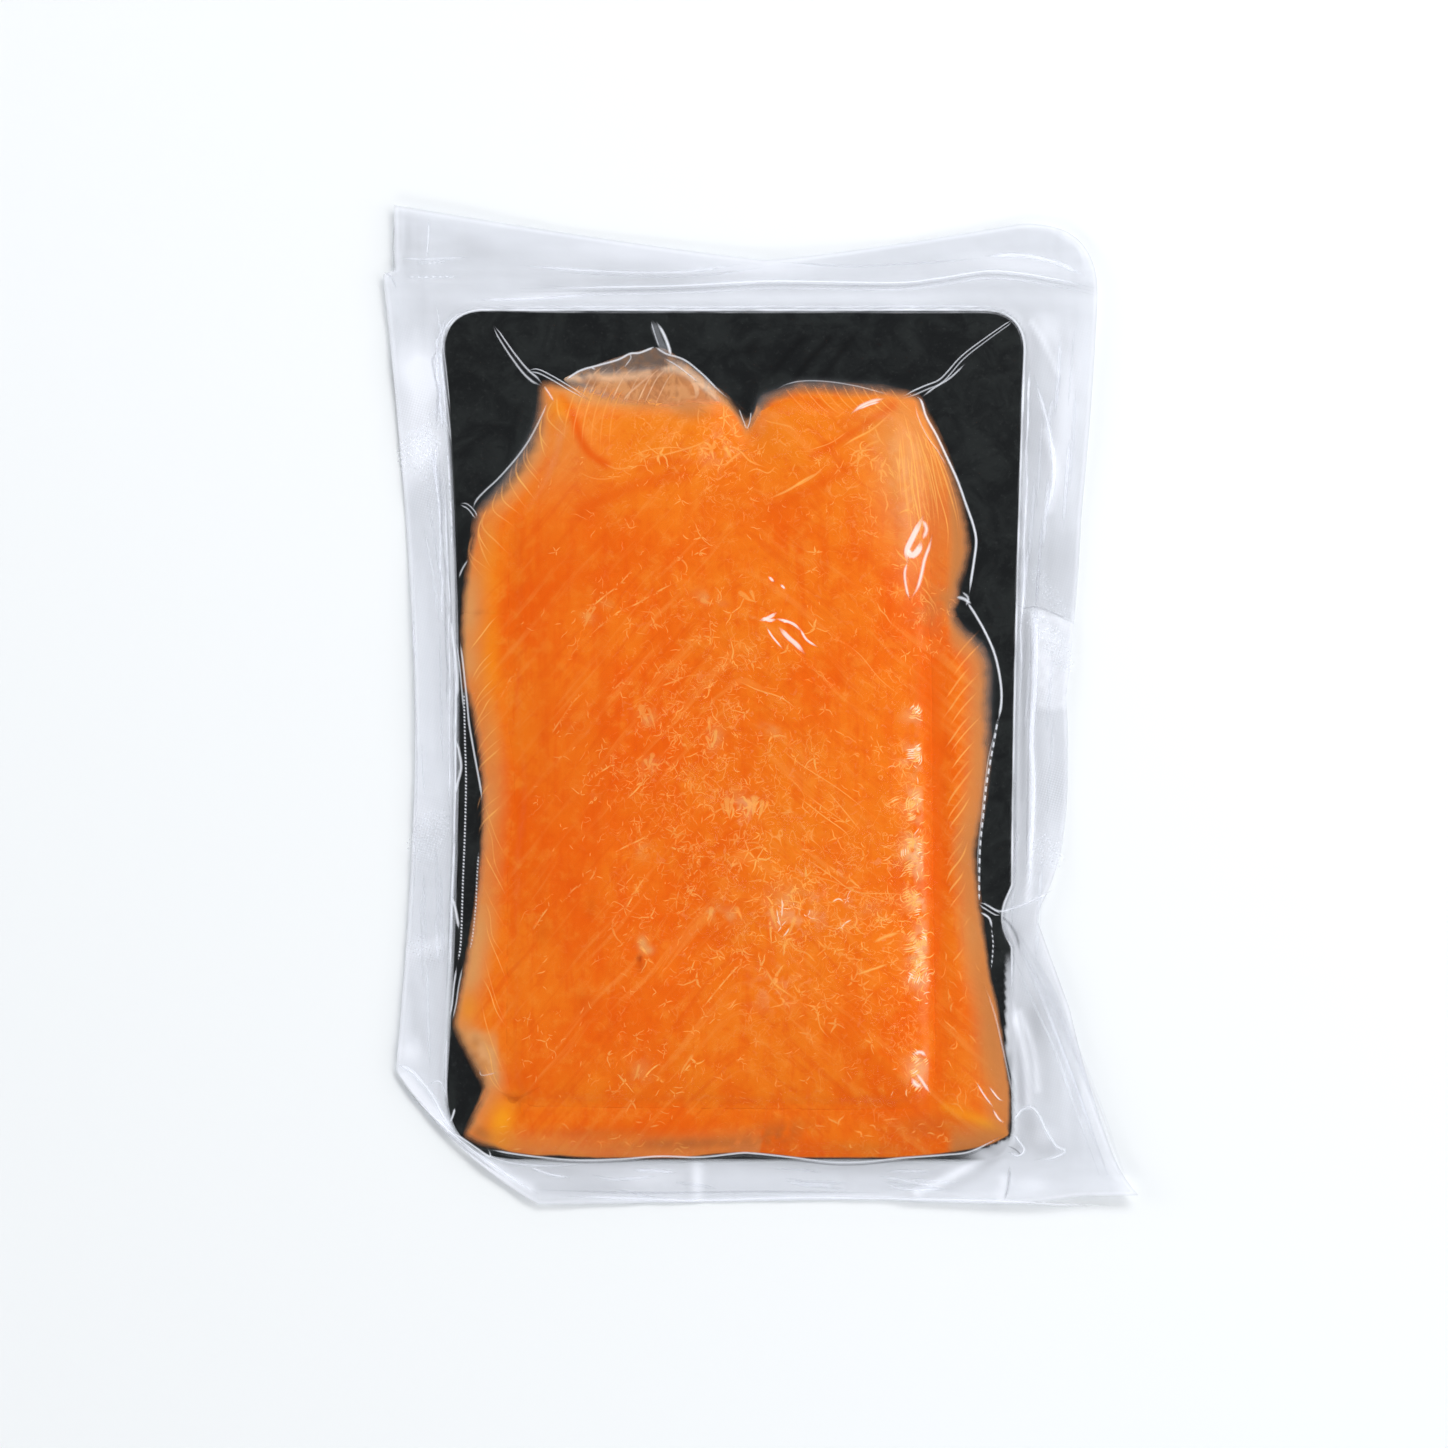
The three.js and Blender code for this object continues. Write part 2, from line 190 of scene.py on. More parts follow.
grown = fish + out * (spread * (1 - 0.8 * tip))[:, None]
held = limited(grown, lambda t: reach(card, t) - 0.12)
fish = soften(held * (1 - tip[:, None]) + fish * tip[:, None], 1.0, [(-3.6, 71.6), (65.0, -112.4), (-77.4, -112.0), (-80.0, -84.0)])
flap = soften(outline(MEMBRANE), 1.5, [(-27.5, 93.8)])

# The top slice: straight sides, and a band of the lower slices all round, as in the CAD.
ang, rad = polar(fish)
rt = np.minimum(reach(outline(TOP), ang), rad - 2.6 - 6.5 * np.abs(np.cos(np.radians(ang))) ** 0.6)
top = np.stack([CENTRE[0] + rt * np.cos(np.radians(ang)), CENTRE[1] + rt * np.sin(np.radians(ang))], 1)[::-1]
top = soften(top, 3.0)


def distance(px, py, pts):
    """Signed distance to a closed outline, positive inside."""
    shape = px.shape
    x, y = px.ravel(), py.ravel()
    a, b = pts, np.roll(pts, -1, 0)
    best = np.full(x.shape, 1e9)
    inside = np.zeros(x.shape, bool)
    for (ax, ay), (bx, by) in zip(a, b):
        dx, dy = bx - ax, by - ay
        l2 = dx * dx + dy * dy
        if l2 < 1e-12:
            continue
        t = np.clip(((x - ax) * dx + (y - ay) * dy) / l2, 0, 1)
        np.minimum(best, (x - ax - t * dx) ** 2 + (y - ay - t * dy) ** 2, out=best)
        if ay != by:
            cross = ((ay > y) != (by > y)) & (x < (bx - ax) * (y - ay) / (by - ay) + ax)
            inside ^= cross
    d = np.sqrt(best)
    return np.where(inside, d, -d).reshape(shape)


class Field:
    """A signed distance kept on a 1 mm grid and read back by interpolation."""

    def __init__(self, pts, step=0.8):
        self.x0, self.y0, self.step = -104.0, -136.0, step
        self.nx, self.ny = int(210 / step) + 2, int(272 / step) + 2
        gx, gy = np.meshgrid(self.x0 + np.arange(self.nx) * step, self.y0 + np.arange(self.ny) * step)
        self.v = distance(gx, gy, pts)

    def __call__(self, x, y):
        fx = np.clip((x - self.x0) / self.step, 0, self.nx - 1.001)
        fy = np.clip((y - self.y0) / self.step, 0, self.ny - 1.001)
        ix, iy = fx.astype(int), fy.astype(int)
        tx, ty = fx - ix, fy - iy
        v = self.v
        return (v[iy, ix] * (1 - tx) * (1 - ty) + v[iy, ix + 1] * tx * (1 - ty)
                + v[iy + 1, ix] * (1 - tx) * ty + v[iy + 1, ix + 1] * tx * ty)


d_fish, d_top, d_card, d_pouch, d_flap = Field(fish), Field(top), Field(card), Field(pouch), Field(flap)


# ---------------------------------------------------------------- smooth seeded noise
def noise(x, y, size, seed, octaves=1, gain=0.5):
    """Smooth value noise, about -1 to 1, with features of the given size in mm."""
    total, amp, norm = np.zeros_like(x, dtype=float), 1.0, 0.0
    for o in range(octaves):
        rng = np.random.default_rng(seed * 101 + o)
        table = rng.uniform(-1, 1, (512, 512))
        s = size / (2 ** o)
        fx, fy = x / s + 137.3 * (o + 1), y / s + 91.7 * (o + 1)
        ix, iy = np.floor(fx).astype(int), np.floor(fy).astype(int)
        tx, ty = fx - ix, fy - iy
        tx, ty = tx * tx * tx * (tx * (6 * tx - 15) + 10), ty * ty * ty * (ty * (6 * ty - 15) + 10)
        g = lambda a, b: table[b % 512, a % 512]
        total += amp * ((g(ix, iy) * (1 - tx) + g(ix + 1, iy) * tx) * (1 - ty)
                        + (g(ix, iy + 1) * (1 - tx) + g(ix + 1, iy + 1) * tx) * ty)
        norm += amp
        amp *= gain
    return total / norm


def gauss(x, y, cx, cy, rx, ry, turn=0.0):
    c, s = math.cos(math.radians(turn)), math.sin(math.radians(turn))
    u, v = (x - cx) * c + (y - cy) * s, -(x - cx) * s + (y - cy) * c
    return np.exp(-(u / rx) ** 2 - (v / ry) ** 2)


def ridge(x, y, points, width, height):
    """A crease along a bent line, with its full height at the middle and nothing at its ends."""
    p = np.array(points, float)
    seg = np.hypot(*(p[1:] - p[:-1]).T)
    s = np.concatenate([[0], np.cumsum(seg)])
    best, where = np.full(x.shape, 1e9), np.zeros(x.shape)
    for i in range(len(p) - 1):
        (ax, ay), (bx, by) = p[i], p[i + 1]
        dx, dy = bx - ax, by - ay
        t = np.clip(((x - ax) * dx + (y - ay) * dy) / (dx * dx + dy * dy), 0, 1)
        d = np.hypot(x - ax - t * dx, y - ay - t * dy)
        m = d < best
        best = np.where(m, d, best)
        where = np.where(m, (s[i] + t * seg[i]) / s[-1], where)
    ends = smooth(where / 0.12) * smooth((1 - where) / 0.12)
    return height * ends * np.exp(-(best / width) ** 2)


# ---------------------------------------------------------------- heights
def spot_of(*points):
    """Places in the drawing, in mm, from where they lie in the 1448 pixel frame."""
    return [((a - 761) * 0.261, (706 - b) * 0.261) for a, b in points]


def roll(x, y):
    return 0.28 * np.sin(x * 0.075 + y * 0.02) + 0.22 * np.sin(y * 0.055 - x * 0.03 + 1.1) + 0.14 * np.sin((x + y) * 0.11)


def bumps(x, y):
    return 0.12 * noise(x, y, 9, 3) + 0.05 * noise(x, y, 3.2, 4)


def base_height(x, y):
    d = d_fish(x, y)
    rim = 0.26 + 3.7 * (1 - np.exp(-np.clip(d, 0, None) / 6.0))
    dip = 0.9 * gauss(x, y, 46.8, -45, 3.2, 60) * smooth(d / 4)
    return Z_FISH + rim + bumps(x, y) * smooth(d / 5) - dip


def top_height(x, y):
    d, df = d_top(x, y), d_fish(x, y)
    rise = -0.04 + (TOP_T - 0.5) * (1 - np.exp(-np.clip(d, 0, None) / 15.0)) * (0.25 + 0.75 * smooth(d / 4))
    soft = bumps(x, y) * smooth(df / 5) * (1 - smooth(d / 5)) + roll(x, y) * smooth(d / 12) + 0.22 * noise(x, y, 16, 5) * smooth(d / 8) + 0.10 * noise(x, y, 5, 6) * smooth(d / 3)
    tension = 0.35 * gauss(x, y, 20, 66, 22, 1.6, 34) + 0.4 * gauss(x, y, 36, 57, 1.8, 20, 6) + 0.4 * gauss(x, y, -51, 68, 1.6, 14, -18)
    dip = 0.9 * gauss(x, y, 46.8, -45, 3.2, 60) * smooth(df / 4)
    return Z_FISH + 0.26 + 3.7 * (1 - np.exp(-np.clip(df, 0, None) / 6.0)) + rise + soft - dip + tension * smooth(d / 3)


def content_height(x, y):
    df, dt = d_fish(x, y), d_top(x, y)
    low = np.where(df > 0, base_height(x, y), 0)
    return np.where(dt > 0, np.maximum(low, top_height(x, y)), low)


def lift(x, y):
    a = np.degrees(np.arctan2(y - CENTRE[1], x - CENTRE[0]))
    total = 0.25 + 0.25 * np.sin(np.radians(a) * 9)
    for d, spread, h in LIFTS:
        diff = (a - d + 180) % 360 - 180
        total = total + h * np.exp(-diff ** 2 / (2 * spread ** 2))
    return total


def film_height(x, y):
    """The front ply: over the flesh, down to its foot on the card, over the card's edge and out to the seal."""
    df, dc, dp, dm = d_fish(x, y), d_card(x, y), d_pouch(x, y), d_flap(x, y)
    run = 1.0 + 2.4 * smooth((x - 30) / 15) * smooth((y + 70) / 50) + 1.2 * gauss(x, y, 60, 5, 14, 22) + 1.4 * smooth((y - 50) / 20)
    near = np.maximum(df, dm)
    skin = Z_CARD_TOP + 0.08 + 0.75 * smooth(1 + np.minimum(near, 0) / run)
    skin = np.maximum(skin, np.where(df > 0, content_height(x, y) + FILM_CLEAR, 0))
    skin = np.maximum(skin, np.where(dm > 0, Z_FISH + 1.05, 0))
    skin = skin + np.where(dc > 0, 0.22 * np.exp(-((near + run + 0.2) / 0.55) ** 2), 0)
    margin = smooth(-dc / 2.4)
    share = np.clip(-dc / np.maximum(-dc + dp, 0.5), 0, 1)
    flat = 0.75 + lift(x, y) * (0.35 * smooth(share * 2) + 0.65 * share ** 2)
    seal = (0.16 * np.exp(-((y - 110.4) / 0.7) ** 2) + 0.12 * np.exp(-((y - 113.6) / 0.8) ** 2)
            + 0.14 * np.exp(-((y + 128.3) / 0.6) ** 2) + 0.5 * gauss(x, y, -17.4, -124, 2.0, 7) + 0.8 * gauss(x, y, 48, -122, 12, 1.6, 35)
            + 0.9 * gauss(x, y, 69.5, -95, 1.7, 12, 8) + 0.5 * gauss(x, y, 74, -12, 1.8, 28, 2) + 0.5 * gauss(x, y, 76, 66, 2.2, 14, -8))
    ripple = 0.26 * noise(x, y * 0.35, 7, 21) + 0.14 * noise(x * 0.4, y, 6, 22) + 0.07 * noise(x, y, 3.4, 23)
    side = smooth((np.abs(x + 5) - 78) / 4)
    ripple = ripple + side * 0.16 * noise(x * 2.2, y * 0.22, 5, 24)
    flat = flat + (seal + ripple) * smooth(-dc / 3)
    skin = np.where(dc > 0, skin, skin * (1 - margin) + flat * margin)
    return skin + 0.05 * noise(x, y, 2.6, 31) * smooth(df / 2)


# ---------------------------------------------------------------- meshes
def resample(run, n):
    s = np.concatenate([[0], np.cumsum(np.hypot(*(run[1:] - run[:-1]).T))])
    q = np.linspace(0, s[-1], n)
    return np.stack([np.interp(q, s, run[:, k]) for k in (0, 1)], 1)


def split(pts, corners):
    """The four runs of a closed clockwise outline between its top left, top right, bottom right and bottom left corners."""
    idx = [int(np.argmin(np.hypot(*(pts - np.array(k)).T))) for k in corners]
    runs = []
    for k in range(4):
        i, j = idx[k], idx[(k + 1) % 4]
        if j <= i:
            j += len(pts)
        runs.append(pts[np.arange(i, j + 1) % len(pts)])
    return runs


def patch(pts, corners, step):
    """A grid of points that fills an outline and follows its edge exactly."""
    t, r, b, l = split(pts, corners)
    width = max(np.ptp(t[:, 0]), np.ptp(b[:, 0]))
    height = max(np.ptp(l[:, 1]), np.ptp(r[:, 1]))
    nu, nv = int(width / step) + 2, int(height / step) + 2
    T, B = resample(t, nu), resample(b[::-1], nu)
    R, L = resample(r, nv), resample(l[::-1], nv)
    u, v = np.linspace(0, 1, nu)[None, :, None], np.linspace(0, 1, nv)[:, None, None]
    g = ((1 - v) * T[None] + v * B[None] + (1 - u) * L[:, None] + u * R[:, None]
         - ((1 - u) * (1 - v) * T[0] + u * (1 - v) * T[-1] + (1 - u) * v * B[0] + u * v * B[-1]))
    return g


def build(name, grid, z, floor=None, attrs=None):
    """A sheet from a grid, or with a floor a closed body that stands on it."""
    nv, nu = grid.shape[:2]
    verts = np.empty((nv * nu, 3))
    verts[:, 0], verts[:, 1], verts[:, 2] = grid[..., 0].ravel() + OFFSET[0], grid[..., 1].ravel() + OFFSET[1], z.ravel()
    i = np.arange(nv * nu).reshape(nv, nu)
    faces = np.stack([i[1:, :-1], i[1:, 1:], i[:-1, 1:], i[:-1, :-1]], -1).reshape(-1, 4).tolist()
    n_top = nv * nu
    if floor is not None:
        rim = np.concatenate([i[0, :-1], i[:-1, -1], i[-1, :0:-1], i[:0:-1, 0]])
        low = verts[rim].copy()
        low[:, 2] = low[:, 2] - 0.12 if floor == "under" else floor
        verts = np.vstack([verts, low])
        m = len(rim)
        for k in range(m):
            faces.append([int(rim[k]), int(rim[(k + 1) % m]), n_top + (k + 1) % m, n_top + k])
        faces.append([n_top + k for k in range(m)])
    mesh = bpy.data.meshes.new(name)
    mesh.from_pydata((verts * MM).tolist(), [], faces)
    n_grid = (nv - 1) * (nu - 1)
    mesh.polygons.foreach_set("use_smooth", [True] * n_grid + [False] * (len(mesh.polygons) - n_grid))
    for key, values in (attrs or {}).items():
        a = mesh.attributes.new(key, "FLOAT", "POINT")
        full = np.zeros(len(verts))
        full[:n_top] = values.ravel()
        if floor is not None:
            full[n_top:] = values.ravel()[rim]
        a.data.foreach_set("value", full)
    mesh.update()
    ob = bpy.data.objects.new(name, mesh)
    bpy.context.scene.collection.objects.link(ob)
    return ob


def curve(points, step=0.7):
    """Evenly spaced points on a smooth line through the given ones."""
    p = np.array(points, float)
    e = np.vstack([2 * p[0] - p[1], p, 2 * p[-1] - p[-2]])
    t = np.linspace(0, 1, 10, endpoint=False)[:, None]
    parts = [0.5 * (2 * b + (c - a) * t + (2 * a - 5 * b + 4 * c - d) * t ** 2 + (3 * b - a - 3 * c + d) * t ** 3)
             for a, b, c, d in zip(e[:-3], e[1:-2], e[2:-1], e[3:])]
    q = np.vstack(parts + [p[-1:]])
    length = np.hypot(*(q[1:] - q[:-1]).T).sum()
    return resample(q, max(4, int(length / step) + 1))


LINE = ((-1, 0, 0, 0), (0, 1, 1, 0), (1, 0, 0, 0))                                             # one soft line
BROAD = ((-1, 0, 0, 0), (-0.5, 0.7, 0.85, 0), (0.5, 0.7, 0.85, 0), (1, 0, 0, 0))                 # a flat one
# a fold: painted highlights on its flanks and painted shade down its middle
FOLD = ((-1, 0, 0, 0), (-0.62, 0.6, 1, 0), (-0.2, 1, 0.12, 1), (0.25, 1, 0.12, 1), (0.66, 0.6, 0.8, 0), (1, 0, 0, 0))
EDGE = ((-1, 0, 0, 0.9), (-0.45, 0.8, 1, 0), (0.1, 1, 0.1, 1), (1, 0, 0, 1))                      # bright on one side only


class Strokes:
    """Thin raised lines that follow a surface: fibres, fat and painted glints in the flesh, creases with painted
    highlights and painted shade in the film.
    """

    def __init__(self):
        self.x, self.y, self.up, self.value, self.shade, self.faces, self.count = [], [], [], [], [], [], 0

    def add(self, pts, width, value=1.0, rise=0.05, ends=(0.2, 0.2), section=LINE, shade=0.0, beads=None):
        pts = np.asarray(pts, float)
        n, m = len(pts), len(section)
        along = np.gradient(pts, axis=0)
        along /= np.maximum(np.hypot(*along.T), 1e-9)[:, None]
        out = np.stack([-along[:, 1], along[:, 0]], 1)
        u = np.linspace(0, 1, n)
        env = smooth(u / max(ends[0], 1e-6)) * smooth((1 - u) / max(ends[1], 1e-6))
        half = np.broadcast_to(np.asarray(width, float), n) / 2 * (0.3 + 0.7 * env)
        power = np.broadcast_to(np.asarray(value, float), n) * env
        if beads is not None:
            power = power * beads
        for offset, height, level, dark in section:
            q = pts + out * (half * offset)[:, None]
            self.x.append(q[:, 0])
            self.y.append(q[:, 1])
            self.up.append(height * rise * env)
            self.value.append(level * power)
            self.shade.append(np.full(n, min(1.0, dark + shade)))
        i = self.count + np.arange(m * n).reshape(m, n)
        self.faces.append(np.stack([i[:-1, :-1], i[:-1, 1:], i[1:, 1:], i[1:, :-1]], -1).reshape(-1, 4))
        self.count += m * n

    def arrays(self):
        return [np.concatenate(v) for v in (self.x, self.y, self.up, self.value, self.shade)]

    def make(self, name, surface, clear, attrs):
        x, y, up, value, shade = self.arrays()
        z = surface(x, y) + clear + up
        verts = np.stack([x + OFFSET[0], y + OFFSET[1], z], 1) * MM
        mesh = bpy.data.meshes.new(name)
        mesh.from_pydata(verts.tolist(), [], np.concatenate(self.faces).tolist())
        mesh.polygons.foreach_set("use_smooth", [True] * len(mesh.polygons))
        for key, values in attrs(x, y, value, shade).items():
            mesh.attributes.new(key, "FLOAT", "POINT").data.foreach_set("value", np.asarray(values, float))
        mesh.update()
        if mesh.polygons[0].normal.z < 0:
            mesh.flip_normals()
        ob = bpy.data.objects.new(name, mesh)
        bpy.context.scene.collection.objects.link(ob)
        return ob


def wander(rng, start, heading, length, curl, step=0.55):
    """A short wavering line that keeps to its heading on the whole."""
    n = max(2, int(round(length / 1.1)))
    bend = rng.normal(0, curl * 0.5)
    turns = heading + bend * np.linspace(-1, 1, n) + rng.normal(0, curl, n)
    hop = length / n * rng.uniform(0.7, 1.3, n)
    path = np.vstack([[0, 0], np.cumsum(np.stack([hop * np.cos(turns), hop * np.sin(turns)], 1), 0)])
    return curve(path - path.mean(0) + np.array(start), step)


def sprout(rng, start, heading, length, curl, step=0.35):
    """A line that sets out from a point and bends as it goes, at times into a hook."""
    n = max(3, int(round(length / 0.8)))
    turns = heading + 0.7 * np.cumsum(rng.normal(0, curl, n)) + rng.normal(0, curl * 0.35, n)
    hop = length / n * rng.uniform(0.7, 1.3, n)
    path = np.vstack([[0, 0], np.cumsum(np.stack([hop * np.cos(turns), hop * np.sin(turns)], 1), 0)])
    return curve(path + np.array(start), step)


def offset(pts, d):
    along = np.gradient(pts, axis=0)
    along /= np.maximum(np.hypot(*along.T), 1e-9)[:, None]
    return pts + np.stack([-along[:, 1], along[:, 0]], 1) * np.asarray(d).reshape(-1, 1)


def linear(r, g, b):
    return tuple((v / 255 / 12.92 if v / 255 <= 0.04045 else ((v / 255 + 0.055) / 1.055) ** 2.4) for v in (r, g, b)) + (1.0,)


# ---------------------------------------------------------------- node helpers
class Nodes:
    def __init__(self, name):
        self.m = bpy.data.materials.new(name)
        self.m.use_nodes = True
        self.t = self.m.node_tree
        self.t.nodes.clear()
        self.out = self.t.nodes.new("ShaderNodeOutputMaterial")

    def new(self, kind, **props):
        n = self.t.nodes.new(kind)
        for k, v in props.items():
            setattr(n, k, v)
        return n

    def put(self, socket, value):
        if isinstance(value, bpy.types.NodeSocket):
            self.t.links.new(value, socket)
        else:
            socket.default_value = value

    def math(self, op, a, b=None, c=None, clamp=False):
        n = self.new("ShaderNodeMath", operation=op, use_clamp=clamp)
        for k, v in enumerate((a, b, c)):
            if v is not None:
                self.put(n.inputs[k], v)
        return n.outputs[0]

    def ramp(self, value, lo, hi, to_lo=0.0, to_hi=1.0):
        n = self.new("ShaderNodeMapRange", interpolation_type="SMOOTHSTEP")
        for k, v in zip(("Value", "From Min", "From Max", "To Min", "To Max"), (value, lo, hi, to_lo, to_hi)):
            self.put(n.inputs[k], v)
        return n.outputs[0]

    def mix(self, fac, a, b):
        n = self.new("ShaderNodeMix", data_type="RGBA")
        self.put(n.inputs[0], fac)
        self.put(n.inputs[6], a)
        self.put(n.inputs[7], b)
        return n.outputs[2]

    def coords(self, scale=(1, 1, 1)):
        g = self.new("ShaderNodeTexCoord")
        m = self.new("ShaderNodeMapping")
        self.put(m.inputs["Vector"], g.outputs["Object"])
        m.inputs["Scale"].default_value = tuple(1000.0 * s for s in scale)
        return m.outputs["Vector"]

    def noise(self, vec, size, detail=2.0, rough=0.5, distort=0.0):
        n = self.new("ShaderNodeTexNoise")
        self.put(n.inputs["Vector"], vec)
        n.inputs["Scale"].default_value = 1.0 / size
        n.inputs["Detail"].default_value = detail
        n.inputs["Roughness"].default_value = rough
        n.inputs["Distortion"].default_value = distort
        return n.outputs["Fac"]

    def attr(self, name):
        return self.new("ShaderNodeAttribute", attribute_name=name).outputs["Fac"]

    def line(self, value, width):
        """1 on the level line value = 0.5, falling to 0 at the given distance from it."""
        d = self.math("ABSOLUTE", self.math("SUBTRACT", value, 0.5))
        return self.ramp(d, 0.0, width, 1.0, 0.0)

    def bump(self, height, strength, distance):
        n = self.new("ShaderNodeBump")
        self.put(n.inputs["Height"], height)
        n.inputs["Strength"].default_value = strength
        n.inputs["Distance"].default_value = distance
        return n.outputs["Normal"]


def fish_material(name):
    k = Nodes(name)
    v = k.coords()
    broad, mid = k.noise(v, 24, 3), k.noise(v, 4.5, 4, 0.6)
    streak = k.noise(k.coords((1, 0.16, 1)), 3.0, 3, 0.6)
    # muscle lines run up and in to the middle of the slice
    axes = k.new("ShaderNodeSeparateXYZ")
    k.put(axes.inputs[0], v)
    bands = k.new("ShaderNodeCombineXYZ")
    k.put(bands.inputs[0], k.attr("muscle"))
    k.put(bands.inputs[1], k.math("MULTIPLY", axes.outputs[0], 0.13))
    muscle = k.noise(bands.outputs[0], 4.2, 4, 0.6, 0.3)
    wet, flat = k.attr("wet"), k.attr("groove")
    col = k.mix(k.ramp(broad, 0.38, 0.60), linear(243, 103, 13), linear(246, 122, 24))
    col = k.mix(k.ramp(streak, 0.46, 0.68, 0, 0.5), col, linear(240, 90, 9))
    col = k.mix(k.attr("sun"), col, linear(244, 136, 30))
    col = k.mix(k.ramp(mid, 0.50, 0.70, 0, 0.46), col, linear(249, 144, 46))
    col = k.mix(k.ramp(mid, 0.47, 0.32, 0, 0.38), col, linear(237, 92, 12))
    col = k.mix(k.ramp(muscle, 0.53, 0.70, 0, 0.42), col, linear(250, 150, 64))
    col = k.mix(k.ramp(muscle, 0.46, 0.32, 0, 0.40), col, linear(235, 90, 12))
    # fat lies in tangled hair lines, with small webs where they meet
    part = k.noise(v, 9, 2, 0.5)
    web = k.math("MULTIPLY", k.line(k.noise(v, 8.0, 1.2, 0.6, 1.6), 0.013), k.ramp(part, 0.42, 0.56))
    web2 = k.math("MULTIPLY", k.line(k.noise(v, 4.6, 1.2, 0.6, 1.5), 0.024), k.ramp(k.noise(v, 8, 2, 0.5), 0.46, 0.58))
    lines = k.math("MULTIPLY", k.math("MAXIMUM", web, web2), k.ramp(wet, 0.0, 1.0, 0.08, 0.8))
    patchy = k.math("MULTIPLY", k.ramp(k.noise(v, 2.8, 3, 0.6, 1.2), 0.63, 0.67), wet)
    col = k.mix(k.math("MULTIPLY", patchy, 0.40), col, linear(248, 158, 98))
    col = k.mix(k.math("MULTIPLY", lines, 0.75), col, linear(255, 176, 92))
    col = k.mix(k.attr("pale"), col, linear(234, 166, 100))
    # painted shade: darker orange in the folds and hollows of the flesh
    col = k.mix(flat, col, linear(237, 94, 12))
    # the tan of folded flesh, partly painted shade in the folds
    col = k.mix(k.attr("tan"), col, linear(186, 98, 46))
    # painted glow: brighter yellow where thin tips and ridges catch the light
    col = k.mix(k.attr("glow"), col, linear(255, 164, 30))
    # the film's milky whitening, and painted sheen along the bright strip and on the busiest webs
    col = k.mix(k.attr("milk"), col, linear(244, 190, 140))
    col = k.mix(k.math("MINIMUM", k.attr("tone"), 1.0), col, linear(255, 190, 100))
    col = k.mix(k.attr("spot"), col, linear(166, 50, 12))
    col = k.mix(k.attr("dim"), col, linear(200, 126, 68))
    # painted glints: the white cores of the brightest strokes
    col = k.mix(k.attr("gleam"), col, linear(255, 242, 230))
    rag = k.math("ADD", k.attr("edge"), k.math("MULTIPLY", k.math("SUBTRACT", k.noise(v, 3.0, 3), 0.5), 0.45))
    col = k.mix(k.math("MULTIPLY", k.attr("dusk"), k.ramp(rag, 0.1, 1.2, 0.7, 0.0)), col, linear(178, 128, 94))
    alpha = k.math("ADD", k.ramp(rag, -0.1, 1.0), k.math("MULTIPLY", k.attr("tone"), 0.45), clamp=True)
    b = k.new("ShaderNodeBsdfPrincipled")
    k.put(b.inputs["Base Color"], col)
    b.inputs["Roughness"].default_value = 0.5
    b.inputs["Specular IOR Level"].default_value = 0.0
    k.put(b.inputs["Normal"], k.bump(k.math("ADD", mid, k.math("MULTIPLY", muscle, 0.6)), 0.35, 0.0006))
    k.put(b.inputs["Alpha"], alpha)
    k.t.links.new(b.outputs[0], k.out.inputs[0])
    return k.m


def film_material(name, tint, gloss=1.0, rough=0.07):
    k = Nodes(name)
    v = k.coords()
    fine = k.noise(v, 2.2, 3, 0.6, 0.8)
    wig = k.line(k.noise(v, 2.6, 2.5, 0.6, 1.8), 0.06)
    cut = k.ramp(k.noise(v, 4.2, 2), 0.46, 0.6)
    squig = k.math("MULTIPLY", k.math("MULTIPLY", wig, cut), k.attr("wet"))
    normal = k.bump(k.math("ADD", k.math("MULTIPLY", fine, 0.5), squig), 0.6, 0.00014)
    # fine stamping of the seals, in two crossing rows
    axes = k.new("ShaderNodeSeparateXYZ")
    k.put(axes.inputs[0], v)
    x, y = axes.outputs[0], axes.outputs[1]
    rows = [k.math("SINE", k.math("ADD", k.math("MULTIPLY", x, a), k.math("MULTIPLY", y, b))) for a, b in ((5.8, 3.4), (-3.0, 6.0))]
    stamp = k.math("MULTIPLY", k.ramp(k.math("MULTIPLY", rows[0], rows[1]), -0.2, 0.7, -0.5, 1.0), k.attr("stamp"))
    clear = k.new("ShaderNodeBsdfTransparent")
    clear.inputs["Color"].default_value = tint
    # The white layer is the film's frosting and also carries painted highlights; the shade attribute darkens it into
    # painted shade.
    white = k.new("ShaderNodeBsdfDiffuse")
    shade = k.math("ADD", k.attr("shade"), k.math("MULTIPLY", stamp, -0.2), clamp=True)
    pale = k.mix(k.attr("warm"), (0.875, 0.903, 0.975, 1), (1.0, 0.80, 0.66, 1))
    k.put(white.inputs["Color"], k.mix(shade, pale, (0.012, 0.013, 0.016, 1)))
    k.put(white.inputs["Normal"], normal)
    shine = k.new("ShaderNodeBsdfGlossy")
    shine.inputs["Roughness"].default_value = rough
    k.put(shine.inputs["Normal"], normal)
    hz = k.new("ShaderNodeMixShader")
    k.put(hz.inputs[0], k.attr("haze"))
    k.t.links.new(clear.outputs[0], hz.inputs[1])
    k.t.links.new(white.outputs[0], hz.inputs[2])
    # A thin sheet reflects alike from both its sides, so this is Schlick's curve on the facing angle.
    facing = k.new("ShaderNodeLayerWeight")
    facing.inputs["Blend"].default_value = 0.5
    k.put(facing.inputs["Normal"], normal)
    fr = k.math("ADD", 0.04, k.math("MULTIPLY", 0.96, k.math("POWER", facing.outputs["Facing"], 5.0)))
    mix = k.new("ShaderNodeMixShader")
    k.put(mix.inputs[0], k.math("MULTIPLY", fr, gloss, clamp=True))
    k.t.links.new(hz.outputs[0], mix.inputs[1])
    k.t.links.new(shine.outputs[0], mix.inputs[2])
    k.t.links.new(mix.outputs[0], k.out.inputs[0])
    return k.m


